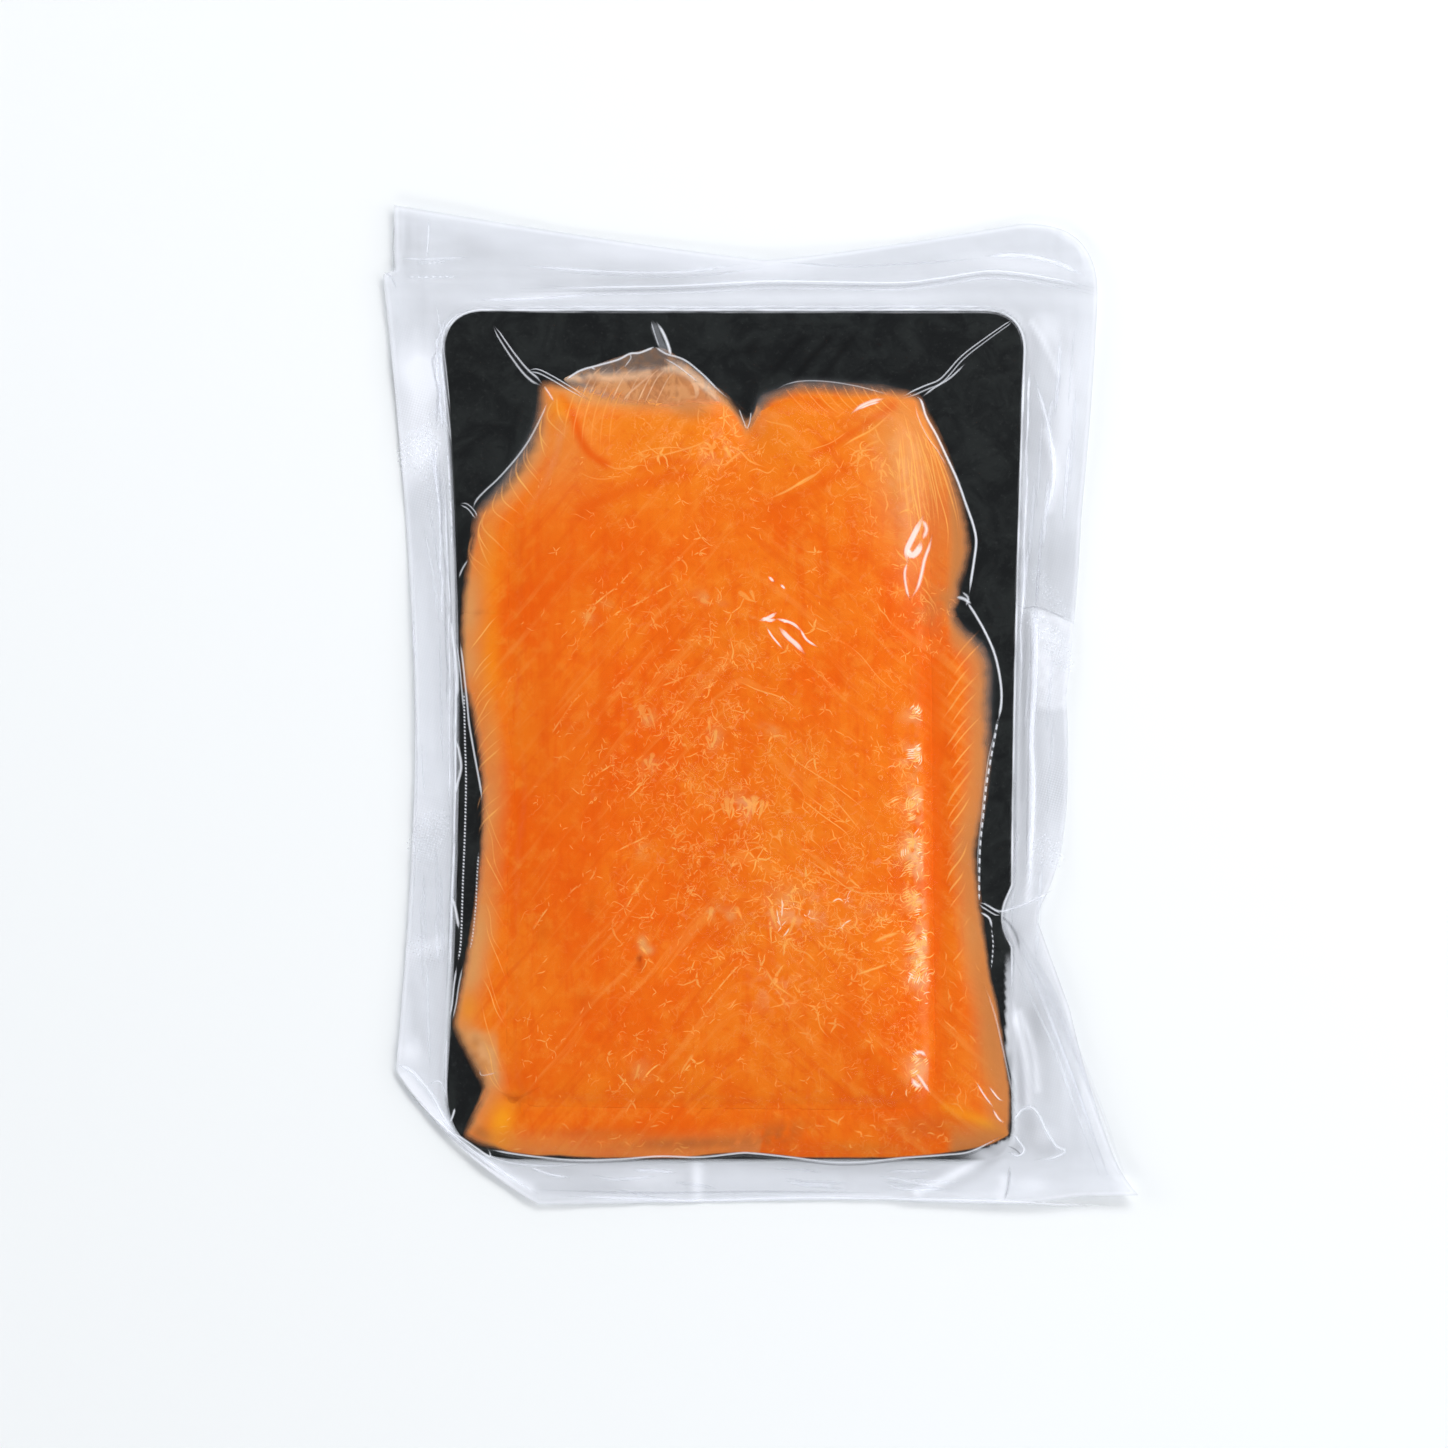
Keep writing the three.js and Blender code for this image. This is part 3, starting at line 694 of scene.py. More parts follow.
def card_material():
    k = Nodes("card_black")
    v = k.coords()
    grain = k.noise(v, 1.2, 4, 0.6)
    cloud = k.noise(v, 10, 5, 0.62, 0.8)
    col = k.mix(k.ramp(cloud, 0.35, 0.65), linear(24, 26, 27), linear(38, 41, 41))
    col = k.mix(k.ramp(grain, 0.55, 0.75, 0, 0.35), col, linear(56, 58, 58))
    col = k.mix(k.ramp(k.noise(k.coords((1, 1.6, 1)), 6, 4, 0.6, 1.0), 0.54, 0.68, 0, 0.5), col, linear(22, 24, 25))
    col = k.mix(k.attr("streak"), col, linear(16, 17, 18))
    b = k.new("ShaderNodeBsdfPrincipled")
    k.put(b.inputs["Base Color"], col)
    b.inputs["Roughness"].default_value = 0.7
    b.inputs["Specular IOR Level"].default_value = 0.12
    k.put(b.inputs["Normal"], k.bump(grain, 0.3, 0.0002))
    k.t.links.new(b.outputs[0], k.out.inputs[0])
    return k.m


def membrane_material():
    k = Nodes("membrane")
    v = k.coords()
    n = k.noise(v, 4.5, 4, 0.6, 1.2)
    low = k.attr("low")
    firm = k.ramp(k.attr("edge"), 1.6, 3.6)
    col = k.mix(firm, linear(164, 142, 130), linear(200, 134, 84))
    col = k.mix(k.math("MULTIPLY", k.ramp(n, 0.42, 0.62), 0.6), col, linear(224, 162, 108))
    col = k.mix(k.ramp(k.noise(k.coords((1.0, 0.3, 1)), 2.4, 3, 0.6, 0.5), 0.52, 0.7, 0, 0.45), col, linear(160, 104, 68))
    col = k.mix(k.math("MINIMUM", k.attr("tone"), 1.0), col, linear(246, 208, 172))
    b = k.new("ShaderNodeBsdfPrincipled")
    k.put(b.inputs["Base Color"], col)
    b.inputs["Roughness"].default_value = 0.5
    b.inputs["Specular IOR Level"].default_value = 0.2
    k.put(b.inputs["Normal"], k.bump(n, 0.4, 0.0005))
    see = k.math("MULTIPLY", k.ramp(k.attr("edge"), -0.3, 3.5, 0.22, 1.0), k.ramp(low, 0.0, 1.0, 1.0, 0.0))
    see = k.math("ADD", see, k.math("MULTIPLY", k.attr("tone"), k.ramp(low, 0.3, 1.0, 1.0, 0.3)), clamp=True)
    see = k.math("MULTIPLY", see, k.ramp(n, 0.3, 0.6, 0.85, 1.0))
    k.put(b.inputs["Alpha"], see)
    k.t.links.new(b.outputs[0], k.out.inputs[0])
    return k.m


# ---------------------------------------------------------------- attributes of the flesh
def frame_of(x, y):
    return 761 + x / 0.261, 706 - y / 0.261


def near(X, Y, points, width):
    """1 on a bent line, falling smoothly to 0 beside it; all in pixels of the frame."""
    p = np.array(curve(points, 6.0), float)
    best = np.full(X.shape, 1e9)
    for (ax, ay), (bx, by) in zip(p[:-1], p[1:]):
        dx, dy = bx - ax, by - ay
        t = np.clip(((X - ax) * dx + (Y - ay) * dy) / max(dx * dx + dy * dy, 1e-9), 0, 1)
        np.minimum(best, (X - ax - t * dx) ** 2 + (Y - ay - t * dy) ** 2, out=best)
    return np.exp(-best / width ** 2)


def flesh_attrs(x, y, edge, tone=None, dusk=0.0):
    X, Y = frame_of(x, y)
    tone = np.zeros_like(x) if tone is None else tone
    df, dt = d_fish(x, y), d_top(x, y)
    grow = lambda cx, cy, rx, ry, turn=0.0: gauss(X, Y, cx, cy, rx, ry, turn)
    wet = (0.28 + 0.8 * grow(790, 890, 110, 90) + 0.55 * grow(740, 740, 70, 120) + 0.5 * grow(710, 450, 110, 50) + 0.35 * grow(650, 740, 60, 60)
           + 0.5 * grow(895, 900, 30, 220) + 0.45 * grow(880, 480, 50, 80) - 0.3 * grow(540, 760, 50, 330) - 0.2 * grow(540, 1040, 60, 60))
    # yellower at the top and through the middle, redder down the left
    sun = (0.75 * smooth((560 - Y) / 140) + 0.35 * grow(790, 860, 110, 160) + 0.25 * grow(660, 1080, 160, 50) + 0.3 * smooth((505 - X) / 12) * smooth((Y - 600) / 30)
           + 0.3 * grow(970, 1100, 40, 70) + 0.2 * grow(730, 640, 60, 90) - 0.2 * grow(560, 780, 40, 180))
    # paler where the lower slices show beside the top one
    band = 1 - smooth((dt + 1.5) / 3.0)
    right = smooth((X - 944) / 12)
    pale = band * smooth((9 - df) / 8) * np.where(x > 0, 0.80 * right, 0.80) * (0.8 + 0.4 * noise(x, y, 9, 51))
    pale = pale * np.where((Y > 905) & (Y < 1010) & (x < 0), 1.3, 1.0) * (1 - 0.5 * smooth((Y - 1100) / 20))
    pale = pale + 0.35 * grow(655, 402, 70, 10) + 0.7 * grow(482, 1055, 12, 26, -30) + 0.5 * grow(468, 618, 14, 18) + 0.3 * grow(690, 405, 24, 8)
    pale = pale + 0.9 * grow(643, 942, 4.5, 7) + 0.8 * grow(649, 949, 5, 4) + 0.45 * grow(473, 1124, 9, 9)
    pale = pale + 0.65 * grow(908, 465, 32, 74) + 0.24 * grow(555, 450, 44, 48) + 0.45 * grow(640, 400, 60, 9)
    for cx, cy, rx, ry, k in ((647, 718, 9, 8, 0.5), (650, 765, 7, 7, 0.55), (645, 850, 8, 8, 0.4), (715, 738, 7, 12, 0.5), (742, 800, 12, 8, 0.5), (770, 730, 10, 5, 0.5),
                              (712, 910, 8, 8, 0.6), (730, 915, 8, 8, 0.5), (710, 600, 14, 6, 0.5), (590, 618, 8, 5, 0.4), (605, 604, 8, 4, 0.3), (790, 895, 20, 12, 0.35),
                              (640, 1070, 10, 14, 0.3), (860, 905, 16, 8, 0.3)):
        pale = pale + k * grow(cx, cy, rx, ry, 20) * smooth((noise(x, y, 2.4, 55, 2) + 0.6) / 0.7)
    # painted shade in the folds and hollows of the flesh, and down the hollow on the right
    groove = (0.75 * grow(936, 820, 9, 210) + 0.5 * grow(922, 690, 14, 40) + 0.3 * grow(575, 820, 20, 190) + 0.4 * near(X, Y, [(598, 580), (604, 680), (600, 800), (596, 880)], 7)
              + 0.3 * grow(560, 560, 60, 50) + 0.35 * grow(545, 700, 12, 160) + 0.9 * near(X, Y, [(562, 398), (574, 418), (582, 442), (592, 456), (606, 465)], 5) + 0.6 * near(X, Y, [(583, 512), (615, 495), (650, 482), (682, 477)], 8) + 0.5 * near(X, Y, [(640, 470), (662, 462), (690, 464)], 5)
              + 0.6 * near(X, Y, [(812, 457), (850, 435), (893, 405)], 4.5) + 0.5 * near(X, Y, [(770, 512), (810, 490), (850, 468)], 6) + 0.4 * grow(640, 1128, 90, 8) + 0.35 * grow(520, 1085, 30, 12))
    brown = noise(x, y, 2.6, 52, 2)
    spot = (0.8 * grow(640, 957, 2.4, 3.4) + 0.3 * grow(641, 964, 4, 6) + 0.42 * grow(514, 1097, 9, 4, 14) + 0.12 * grow(522, 1104, 9, 14)
            + 0.25 * grow(479, 613, 6, 3, -12) + 0.12 * grow(543, 930, 8, 14) + 0.12 * grow(592, 905, 5, 12) + 0.1 * grow(585, 1000, 10, 12))
    # tan: the folds' own colour, and partly painted shade where the flesh folds at the bottom and at the tail
    tan = (0.7 * grow(481, 1131, 9, 6, 20) + 0.8 * grow(690, 1143, 62, 6.5, -1) * smooth((brown + 0.9) / 0.8) + 0.6 * grow(775, 1133, 30, 11, -12) * smooth((brown + 0.8) / 0.9)
           + 0.35 * grow(930, 1125, 40, 13, -6) + 0.25 * grow(860, 1148, 60, 7) + 0.25 * grow(600, 1133, 50, 6) + 0.3 * grow(696, 415, 14, 7)
           + 0.30 * grow(612, 397, 16, 5) * smooth((brown + 0.6) / 0.6) + 0.30 * grow(645, 406, 16, 6, 10) * smooth((brown + 0.6) / 0.6) + 0.25 * grow(668, 394, 14, 6))
    # painted glow on the thin tips and edges, and on the lit ridge of the tail
    glow = (0.95 * grow(502, 1120, 13, 22, 12) + 0.45 * near(X, Y, [(945, 1106), (972, 1117), (998, 1130), (1010, 1137)], 5) + 0.35 * grow(490, 560, 12, 50) + 0.4 * grow(490, 655, 12, 45) + 0.55 * grow(468, 1008, 10, 14) + 0.5 * grow(990, 1125, 22, 9, 25)
            + 0.5 * grow(560, 405, 12, 14) + 0.35 * grow(500, 1145, 25, 7))
    muscle = y + np.where(x < -5, 1.19, 0.84) * (np.sqrt((x + 5) ** 2 + 16) - 4) + 1.5 * noise(x, y, 14, 57)
    grain = noise(x, y, 1.9, 64, 2)
    # the bright strip along the top slice's right edge, where the painted sheen lies
    crest = np.zeros_like(x)
    for cy, ry, k in ((716, 8, 0.5), (757, 12, 0.9), (800, 14, 0.7), (852, 19, 1.1), (900, 12, 0.8), (948, 15, 1.2), (978, 10, 0.8), (1068, 17, 1.0)):
        crest += k * gauss(X, Y, 913 + 6 * smooth((cy - 800) / 190.0), cy, 12, ry)
    crest = (crest + 0.45 * gauss(X, Y, 916 + 5 * smooth((Y - 800) / 190), 890, 7, 130) * smooth((noise(x, y, 4, 78) + 0.7) / 0.8)) * smooth((923 + 7 * smooth((Y - 800) / 190) - X + 1.5 * noise(x, y, 3, 68)) / 3)
    curds = smooth((noise(x, y, 1.7, 65, 2) + 0.05) / 0.5)
    # milky whitening of the film, partly painted sheen on the strip and the busiest webs; the beige flap's part is its
    # own colour
    milk = (0.62 * crest * smooth((grain + 0.5) / 0.6) + 0.30 * grow(788, 915, 30, 16) * curds + 0.14 * grow(830, 905, 40, 22) * curds + 0.30 * grow(742, 806, 20, 12) * curds
            + 0.20 * grow(911, 552, 12, 44) + 0.16 * grow(905, 480, 18, 50) * smooth((grain + 0.4) / 0.6) + 0.10 * grow(875, 452, 30, 30) * curds + 0.18 * grow(714, 448, 26, 24) * curds
            + 0.45 * grow(484, 1058, 10, 26, -25) * smooth((grain + 0.7) / 0.8) + 0.25 * grow(775, 985, 22, 22) * curds)
    dim = band * smooth((9.5 - df) / 8) * np.where(x > 0, 0.85 * right, 0.26) + 0.42 * grow(945, 520, 26, 80) + 0.5 * grow(952, 600, 16, 16) + 0.25 * grow(985, 1050, 20, 60) + 0.15 * grow(880, 420, 40, 25)
    dim = dim + 0.40 * grow(932, 610, 22, 28) * smooth((brown + 0.7) / 0.9) + 0.36 * np.clip(crest, 0, 1) * smooth((noise(x, y, 1.3, 72, 2) - 0.1) / 0.5) + 0.55 * grow(645, 397, 24, 7) * smooth((brown + 0.9) / 0.8) + 0.8 * grow(688, 407, 18, 9)
    beige = smooth((501 - X) / 5) * smooth((Y - 1026) / 14) * smooth((1091 - Y) / 12)
    pale, dim = pale + 0.62 * beige * (0.75 + 0.5 * noise(x, y, 2.6, 73)), dim + (0.26 * beige * smooth((492 - X) / 14) + 0.10 * beige) * (0.7 + 0.9 * noise(x, y, 1.8, 74)) + 0.45 * grow(482, 1135, 9, 5, 25)
    clip = lambda v: np.clip(v, 0, 1)
    # a stroke value over 1 turns into painted glint
    return dict(dim=clip(dim), edge=edge, wet=clip(wet), pale=clip(pale), groove=clip(groove), spot=clip(spot), tan=clip(tan), glow=clip(glow), sun=clip(sun), tone=np.minimum(tone, 1), gleam=clip(tone - 1), milk=clip(milk),
                dusk=dusk + 0 * x, muscle=muscle)


def soft_rim(x, y):
    """Distance in from the slice's rim, as a share of how wide its fade is there."""
    X, Y = frame_of(x, y)
    width = (2.2 + 3.2 * gauss(X, Y, 505, 460, 60, 60) + 3.0 * gauss(X, Y, 825, 385, 85, 22) + 2.2 * gauss(X, Y, 760, 405, 14, 18) + 1.8 * gauss(X, Y, 985, 660, 40, 110)
             + 1.2 * gauss(X, Y, 945, 470, 30, 60)  + 1.2 * gauss(X, Y, 485, 1060, 20, 30)
             - 1.2 * gauss(X, Y, 650, 380, 50, 14) - 1.5 * smooth((Y - 1125) / 20) * smooth((X - 490) / 20) - 0.9 * smooth((X - 950) / 20) * smooth((Y - 900) / 60))
    return d_fish(x, y) / np.maximum(width, 0.6)


def low_attrs(x, y, tone=None):
    return flesh_attrs(x, y, soft_rim(x, y), tone, 1.0)


def top_attrs(x, y, tone=None):
    return flesh_attrs(x, y, 3.0 + 0 * x, tone)


# ---------------------------------------------------------------- pieces
def finish_piece(ob, material, slot, *nodes, shadow=True):
    ob.data.materials.append(material)
    ob.visible_shadow = shadow
    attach(ob, "root")
    if nodes:
        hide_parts(*nodes)
    return ob


FLESH = fish_material("flesh")


def seam_y(x):
    t = np.clip((x + 120) / 240, 0, 1)
    return (1 - t) ** 2 * SEAM_LEFT + 2 * t * (1 - t) * ((SEAM_LEFT + SEAM_RIGHT) / 2 - 2 * SEAM_DIP) + t ** 2 * SEAM_RIGHT


above = fish[:, 1] > seam_y(fish[:, 0])
turn = int(np.argmax(above & ~np.roll(above, 1)))
ring = np.roll(fish, -turn, 0)
up = np.roll(above, -turn)
n_up = int(np.argmin(up)) if not up.all() else len(up)
upper_run, lower_run = ring[:n_up], ring[n_up:]
xs = np.linspace(upper_run[-1, 0], upper_run[0, 0], 140)[1:-1]
ends_in = smooth(np.minimum(abs(xs - xs[0]), abs(xs - xs[-1])) / 2)
# each of the two lower slices runs on a little under the other at the seam
seam_pts = np.stack([xs, seam_y(xs) - 0.9 * ends_in], 1)
shoulder_loop = np.vstack([upper_run, seam_pts])
under_seam = np.stack([xs, seam_y(xs) + 1.6 * ends_in], 1)
lower_loop = np.vstack([lower_run, under_seam[::-1]])
LOW_STEP = STEP * 1.25
tuck = lambda x, y: 0.3 * smooth(d_top(x, y) / 0.8 - 0.3)

g = patch(shoulder_loop, [(-56.9, 84.0), (40.2, 81.4), tuple(upper_run[-1]), tuple(upper_run[0])], LOW_STEP)
x, y = g[..., 0], g[..., 1]
below = 0.2 * smooth((seam_y(x) - y + 0.02) / 0.5)
finish_piece(build("fish_shoulder", g, base_height(x, y) - tuck(x, y) - below, Z_FISH, low_attrs(x, y)), FLESH, "fish", "slice_shoulder", shadow=False)

g = patch(lower_loop, [tuple(lower_run[-1]), tuple(lower_run[0]), (65.0, -112.4), (-77.4, -112.0)], LOW_STEP)
x, y = g[..., 0], g[..., 1]
below = 0.2 * smooth((y - seam_y(x)) / 0.5)
finish_piece(build("fish_lower", g, base_height(x, y) - tuck(x, y) - below, Z_FISH, low_attrs(x, y)), FLESH, "fish", "slice_lower", shadow=False)

g = patch(top, [(-52, 76), (36, 76), (44, -104), (-65, -103)], STEP)
x, y = g[..., 0], g[..., 1]
finish_piece(build("fish_top", g, top_height(x, y), "under", top_attrs(x, y)), FLESH, "fish", "slice_top")

# ---- fibres, fat and chevrons in the flesh, and painted glints on the wettest of them
rng = np.random.default_rng(7)
fat_and_glints = Strokes()


def lean(X):
    """The muscle runs up and in on both sides of the middle line."""
    return math.radians(48 if X < 742 else -40)


def busy(X, Y):
    g = lambda cx, cy, rx, ry: math.exp(-((X - cx) / rx) ** 2 - ((Y - cy) / ry) ** 2)
    return (0.11 + 1.0 * g(800, 905, 100, 65) + 0.85 * g(745, 790, 75, 75) + 0.6 * g(800, 970, 70, 50) + 0.55 * g(700, 450, 90, 50) + 0.55 * g(880, 470, 45, 60)
            + 0.35 * g(640, 760, 60, 130) + 0.4 * g(720, 640, 60, 90) + 0.3 * g(900, 850, 25, 200) + 0.25 * g(600, 1060, 160, 60) - 0.1 * g(540, 760, 45, 300))


def web(X, Y, size, bright, arms=None, heavy=1.0):
    """Fat spreads from a point in tapering arms; a brightness over 1 whitens their cores into painted glints."""
    start = spot_of((X, Y))[0]
    arms = arms or int(rng.integers(3, 6))
    first = rng.uniform(0, 6.28)
    for a in range(arms):
        length = size * float(np.clip(rng.lognormal(0.0, 0.45), 0.4, 2.2))
        p = sprout(rng, start, first + a * 6.28 / arms + rng.normal(0, 0.4), length, rng.uniform(0.2, 0.6))
        w = heavy * rng.uniform(0.45, 1.0) * min(1.6, 0.5 * size)
        fat_and_glints.add(p, np.linspace(w, 0.2, len(p)), bright * np.linspace(0.75, 1.0, len(p)), rise=0.05, ends=(0.0, 0.3), section=BROAD if w > 0.8 else LINE)


def feathered(p, width, value, lead):
    """A muscle line with short spurs on it."""
    fat_and_glints.add(p, width, value * np.clip(0.6 + 1.0 * noise(p[:, 0], p[:, 1], 1.6, 58), 0.05, 1.3), rise=0.05, ends=(0.25, 0.3), section=BROAD)
    for q in p[2:-2:2]:
        if rng.uniform() < 0.7:
            side = rng.choice([-1, 1])
            fat_and_glints.add(sprout(rng, q, lead + side * rng.uniform(0.5, 1.3), rng.uniform(0.5, 1.5), 0.3, 0.3), rng.uniform(0.26, 0.5), value * rng.uniform(0.5, 1.1), rise=0.04, ends=(0.1, 0.4))


clusters, tries = 0, 0
while clusters < (600) and tries < 20000:
    tries += 1
    X, Y = rng.uniform(520, 925), rng.uniform(405, 1125)
    if rng.uniform() > busy(X, Y):
        continue
    cx, cy = spot_of((X, Y))[0]
    if float(d_top(np.array([cx]), np.array([cy]))[0]) < 1.5:
        continue
    clusters += 1
    head = lean(X) + rng.normal(0, 0.35)
    bright = rng.uniform(0.4, 1.0)
    if rng.uniform() < 0.42:
        web(X, Y, rng.uniform(0.9, 2.6), bright, heavy=0.8)
        continue
    size = rng.uniform(0.8, 3.0)
    for _ in range(int(rng.integers(2, 6))):
        start = (cx + rng.normal(0, size), cy + rng.normal(0, size))
        length = float(np.clip(rng.lognormal(0.75, 0.5), 0.8, 5.5))
        p = sprout(rng, start, head + rng.normal(0, 0.7) + rng.choice([0, 3.14]), length, rng.uniform(0.35, 0.95))
        fat_and_glints.add(p, rng.uniform(0.24, 0.36), bright * rng.uniform(0.4, 0.95), rise=0.05, ends=(0.25, 0.35), section=BROAD)
for X, Y, size, bright in ((731, 804, 2.4, 0.8), (752, 806, 3.2, 0.9), (744, 598, 2.4, 0.6), (718, 602, 1.6, 0.55), (642, 716, 2.6, 0.6), (651, 764, 2.0, 0.65), (711, 742, 2.6, 0.75), (709, 915, 1.8, 0.8),
                           (712, 450, 2.6, 0.7), (728, 462, 2.0, 0.7), (690, 455, 1.8, 0.5), (724, 436, 1.6, 0.6), (790, 893, 2.6, 0.9), (770, 925, 2.2, 0.95), (730, 912, 1.6, 0.6), (776, 976, 2.6, 0.7),
                           (784, 1002, 2.4, 0.6), (800, 992, 2.0, 0.6), (816, 1006, 2.4, 0.6), (700, 640, 2.0, 0.5), (722, 700, 1.6, 0.6), (772, 736, 2.0, 0.65), (884, 918, 1.6, 0.9), (640, 1072, 1.8, 0.5),
                           (660, 1078, 1.8, 0.5), (880, 470, 2.2, 0.7), (862, 500, 1.8, 0.5), (838, 470, 1.6, 0.6), (645, 850, 1.8, 0.4), (900, 930, 2.0, 0.9), (703, 780, 2.0, 0.5), (685, 905, 1.6, 0.5),
                           (640, 940, 1.4, 0.7), (560, 1012, 1.2, 0.4), (604, 604, 1.4, 0.4), (586, 620, 1.6, 0.4), (860, 960, 2.0, 0.6), (835, 870, 1.8, 0.6)):
    web(X, Y, size, bright)
# combs of fat that hang from the busiest webs
for a, b, w, t in (((727, 795), (731, 823), 1.4, 0.75), ((733, 797), (729, 818), 0.9, 0.7), ((722, 802), (726, 815), 0.7, 0.6), ((748, 797), (744, 822), 1.2, 0.8), ((755, 794), (752, 820), 1.7, 0.8),
                   ((762, 798), (757, 823), 1.2, 0.75), ((768, 800), (760, 815), 0.7, 0.6), ((741, 802), (738, 812), 0.6, 0.5), ((709, 716), (711, 740), 0.9, 0.6), ((716, 728), (708, 752), 0.9, 0.8),
                   ((706, 735), (711, 751), 0.7, 0.7), ((640, 703), (652, 728), 1.6, 0.5), ((648, 706), (657, 734), 1.0, 0.5), ((654, 752), (648, 772), 1.1, 0.6), ((645, 758), (651, 772), 0.8, 0.6),
                   ((738, 592), (752, 602), 1.4, 0.55), ((750, 590), (756, 606), 0.8, 0.55), ((700, 600), (716, 604), 1.0, 0.5), ((590, 612), (584, 630), 1.3, 0.55), ((596, 606), (590, 616), 0.8, 0.6),
                   ((640, 945), (648, 955), 0.9, 0.6), ((712, 905), (706, 922), 1.1, 0.6), ((735, 905), (742, 922), 1.0, 0.55), ((770, 905), (778, 930), 1.2, 0.7), ((795, 915), (786, 938), 1.0, 0.7),
                   ((716, 440), (708, 458), 1.0, 0.6), ((724, 446), (734, 466), 1.1, 0.6), ((640, 1062), (632, 1082), 0.9, 0.55), ((694, 1052), (678, 1084), 0.7, 0.6)):
    mid_at = ((a[0] + b[0]) / 2 + rng.normal(0, 1.2), (a[1] + b[1]) / 2 + rng.normal(0, 1.2))
    p = curve(spot_of(a, mid_at, b), 0.4)
    fat_and_glints.add(p, np.linspace(1.5 * w, 0.22, len(p)) * (1 + 0.35 * noise(p[:, 0], p[:, 1], 1.0, 75)), 0.8 * t, rise=0.05, ends=(0.12, 0.3), section=BROAD)
# painted glints on the busiest webs: values over 1 whiten their cores
for X, Y, size, bright in ((781, 925, 2.4, 1.9), (782, 908, 1.8, 1.8), (807, 915, 1.8, 1.9), (793, 905, 1.4, 1.5), (846, 899, 1.4, 1.8), (841, 926, 1.4, 1.6), (886, 917, 1.2, 1.5), (756, 812, 1.6, 1.3),
                           (735, 812, 1.6, 1.3), (768, 694, 1.0, 1.6), (781, 698, 0.8, 1.6), (730, 450, 1.0, 1.4), (713, 441, 1.2, 1.3), (712, 745, 1.0, 1.3)):
    web(X, Y, size, bright, heavy=0.55)
for pts in ([(781, 894), (782, 905), (781, 920)], [(776, 905), (778, 917), (781, 928)], [(790, 925), (786, 932), (781, 937)], [(844, 902), (838, 898), (830, 902)], [(838, 930), (845, 922), (853, 918)]):
    fat_and_glints.add(curve(spot_of(*pts), 0.35), 0.55, 1.7, rise=0.05, ends=(0.3, 0.3))
# long muscle lines, up and in from both sides, with spurs
for side, lo, hi, count in ((-1, 530, 690, 22), (1, 780, 915, 22)):
    for i in range(count):
        X, Y = rng.uniform(lo, hi), rng.uniform(560, 1100) if side < 0 else rng.uniform(600, 1000)
        lead = math.radians((52 if side < 0 else -38) + rng.normal(0, 8))
        feathered(wander(rng, spot_of((X, Y))[0], lead, rng.uniform(5, 15), 0.3), rng.uniform(0.24, 0.36), rng.uniform(0.2, 0.5), lead)
for pts, t in (([(580, 622), (592, 608), (606, 596), (620, 585), (636, 566)], 0.6), ([(586, 640), (604, 624), (620, 612), (638, 604), (662, 590), (688, 578)], 0.55), ([(547, 742), (560, 722), (576, 700), (590, 690)], 0.4),
               ([(612, 692), (620, 684), (629, 676)], 0.6), ([(587, 784), (598, 774), (610, 766), (617, 759)], 0.65), ([(612, 853), (628, 845), (646, 836), (660, 822)], 0.5), ([(640, 700), (652, 690), (668, 684), (690, 676)], 0.4),
               ([(626, 800), (640, 786), (650, 770)], 0.6), ([(560, 905), (575, 888), (590, 880), (600, 862)], 0.4), ([(530, 935), (545, 912), (556, 900)], 0.5), ([(610, 930), (626, 908), (640, 884), (652, 868)], 0.5),
               ([(700, 1010), (716, 990), (735, 968), (750, 955)], 0.5), ([(640, 1082), (652, 1068), (664, 1060)], 0.7), ([(676, 1078), (686, 1068), (694, 1058)], 0.6), ([(500, 700), (510, 680), (520, 668)], 0.4)):
    feathered(curve(spot_of(*pts), 0.55), 0.5, min(1.0, 1.3 * t), math.radians(50))
for pts, w, t in (([(796, 795), (822, 815), (845, 832), (852, 846)], 0.42, 0.75), ([(823, 786), (845, 812), (865, 837)], 0.36, 0.6), ([(792, 850), (812, 862), (832, 876), (855, 891), (890, 893), (924, 896)], 0.45, 0.6),
                  ([(785, 935), (795, 948), (806, 952), (818, 964)], 0.7, 0.5), ([(763, 963), (774, 982), (790, 994), (797, 1000)], 0.9, 0.5), ([(797, 1000), (815, 1008), (820, 1026), (832, 1040)], 0.5, 0.5),
                  ([(736, 680), (748, 686), (760, 691), (781, 698), (801, 713)], 0.5, 0.7), ([(872, 942), (884, 936), (900, 931)], 1.3, 0.8), ([(854, 974), (872, 968), (890, 962)], 0.9, 0.8),
                  ([(625, 461), (642, 453), (661, 449), (680, 449), (694, 453)], 0.42, 0.6), ([(575, 470), (590, 478), (606, 480), (630, 474)], 0.4, 0.35), ([(700, 405), (698, 418), (700, 428)], 0.5, 0.5),
                  ([(764, 502), (790, 490), (812, 478), (830, 462)], 0.7, 0.6), ([(806, 452), (830, 444), (850, 430)], 0.45, 0.5), ([(745, 475), (756, 470), (768, 474), (776, 466)], 0.5, 0.6)):
    fat_and_glints.add(curve(spot_of(*pts), 0.5), w, t, ends=(0.25, 0.3))
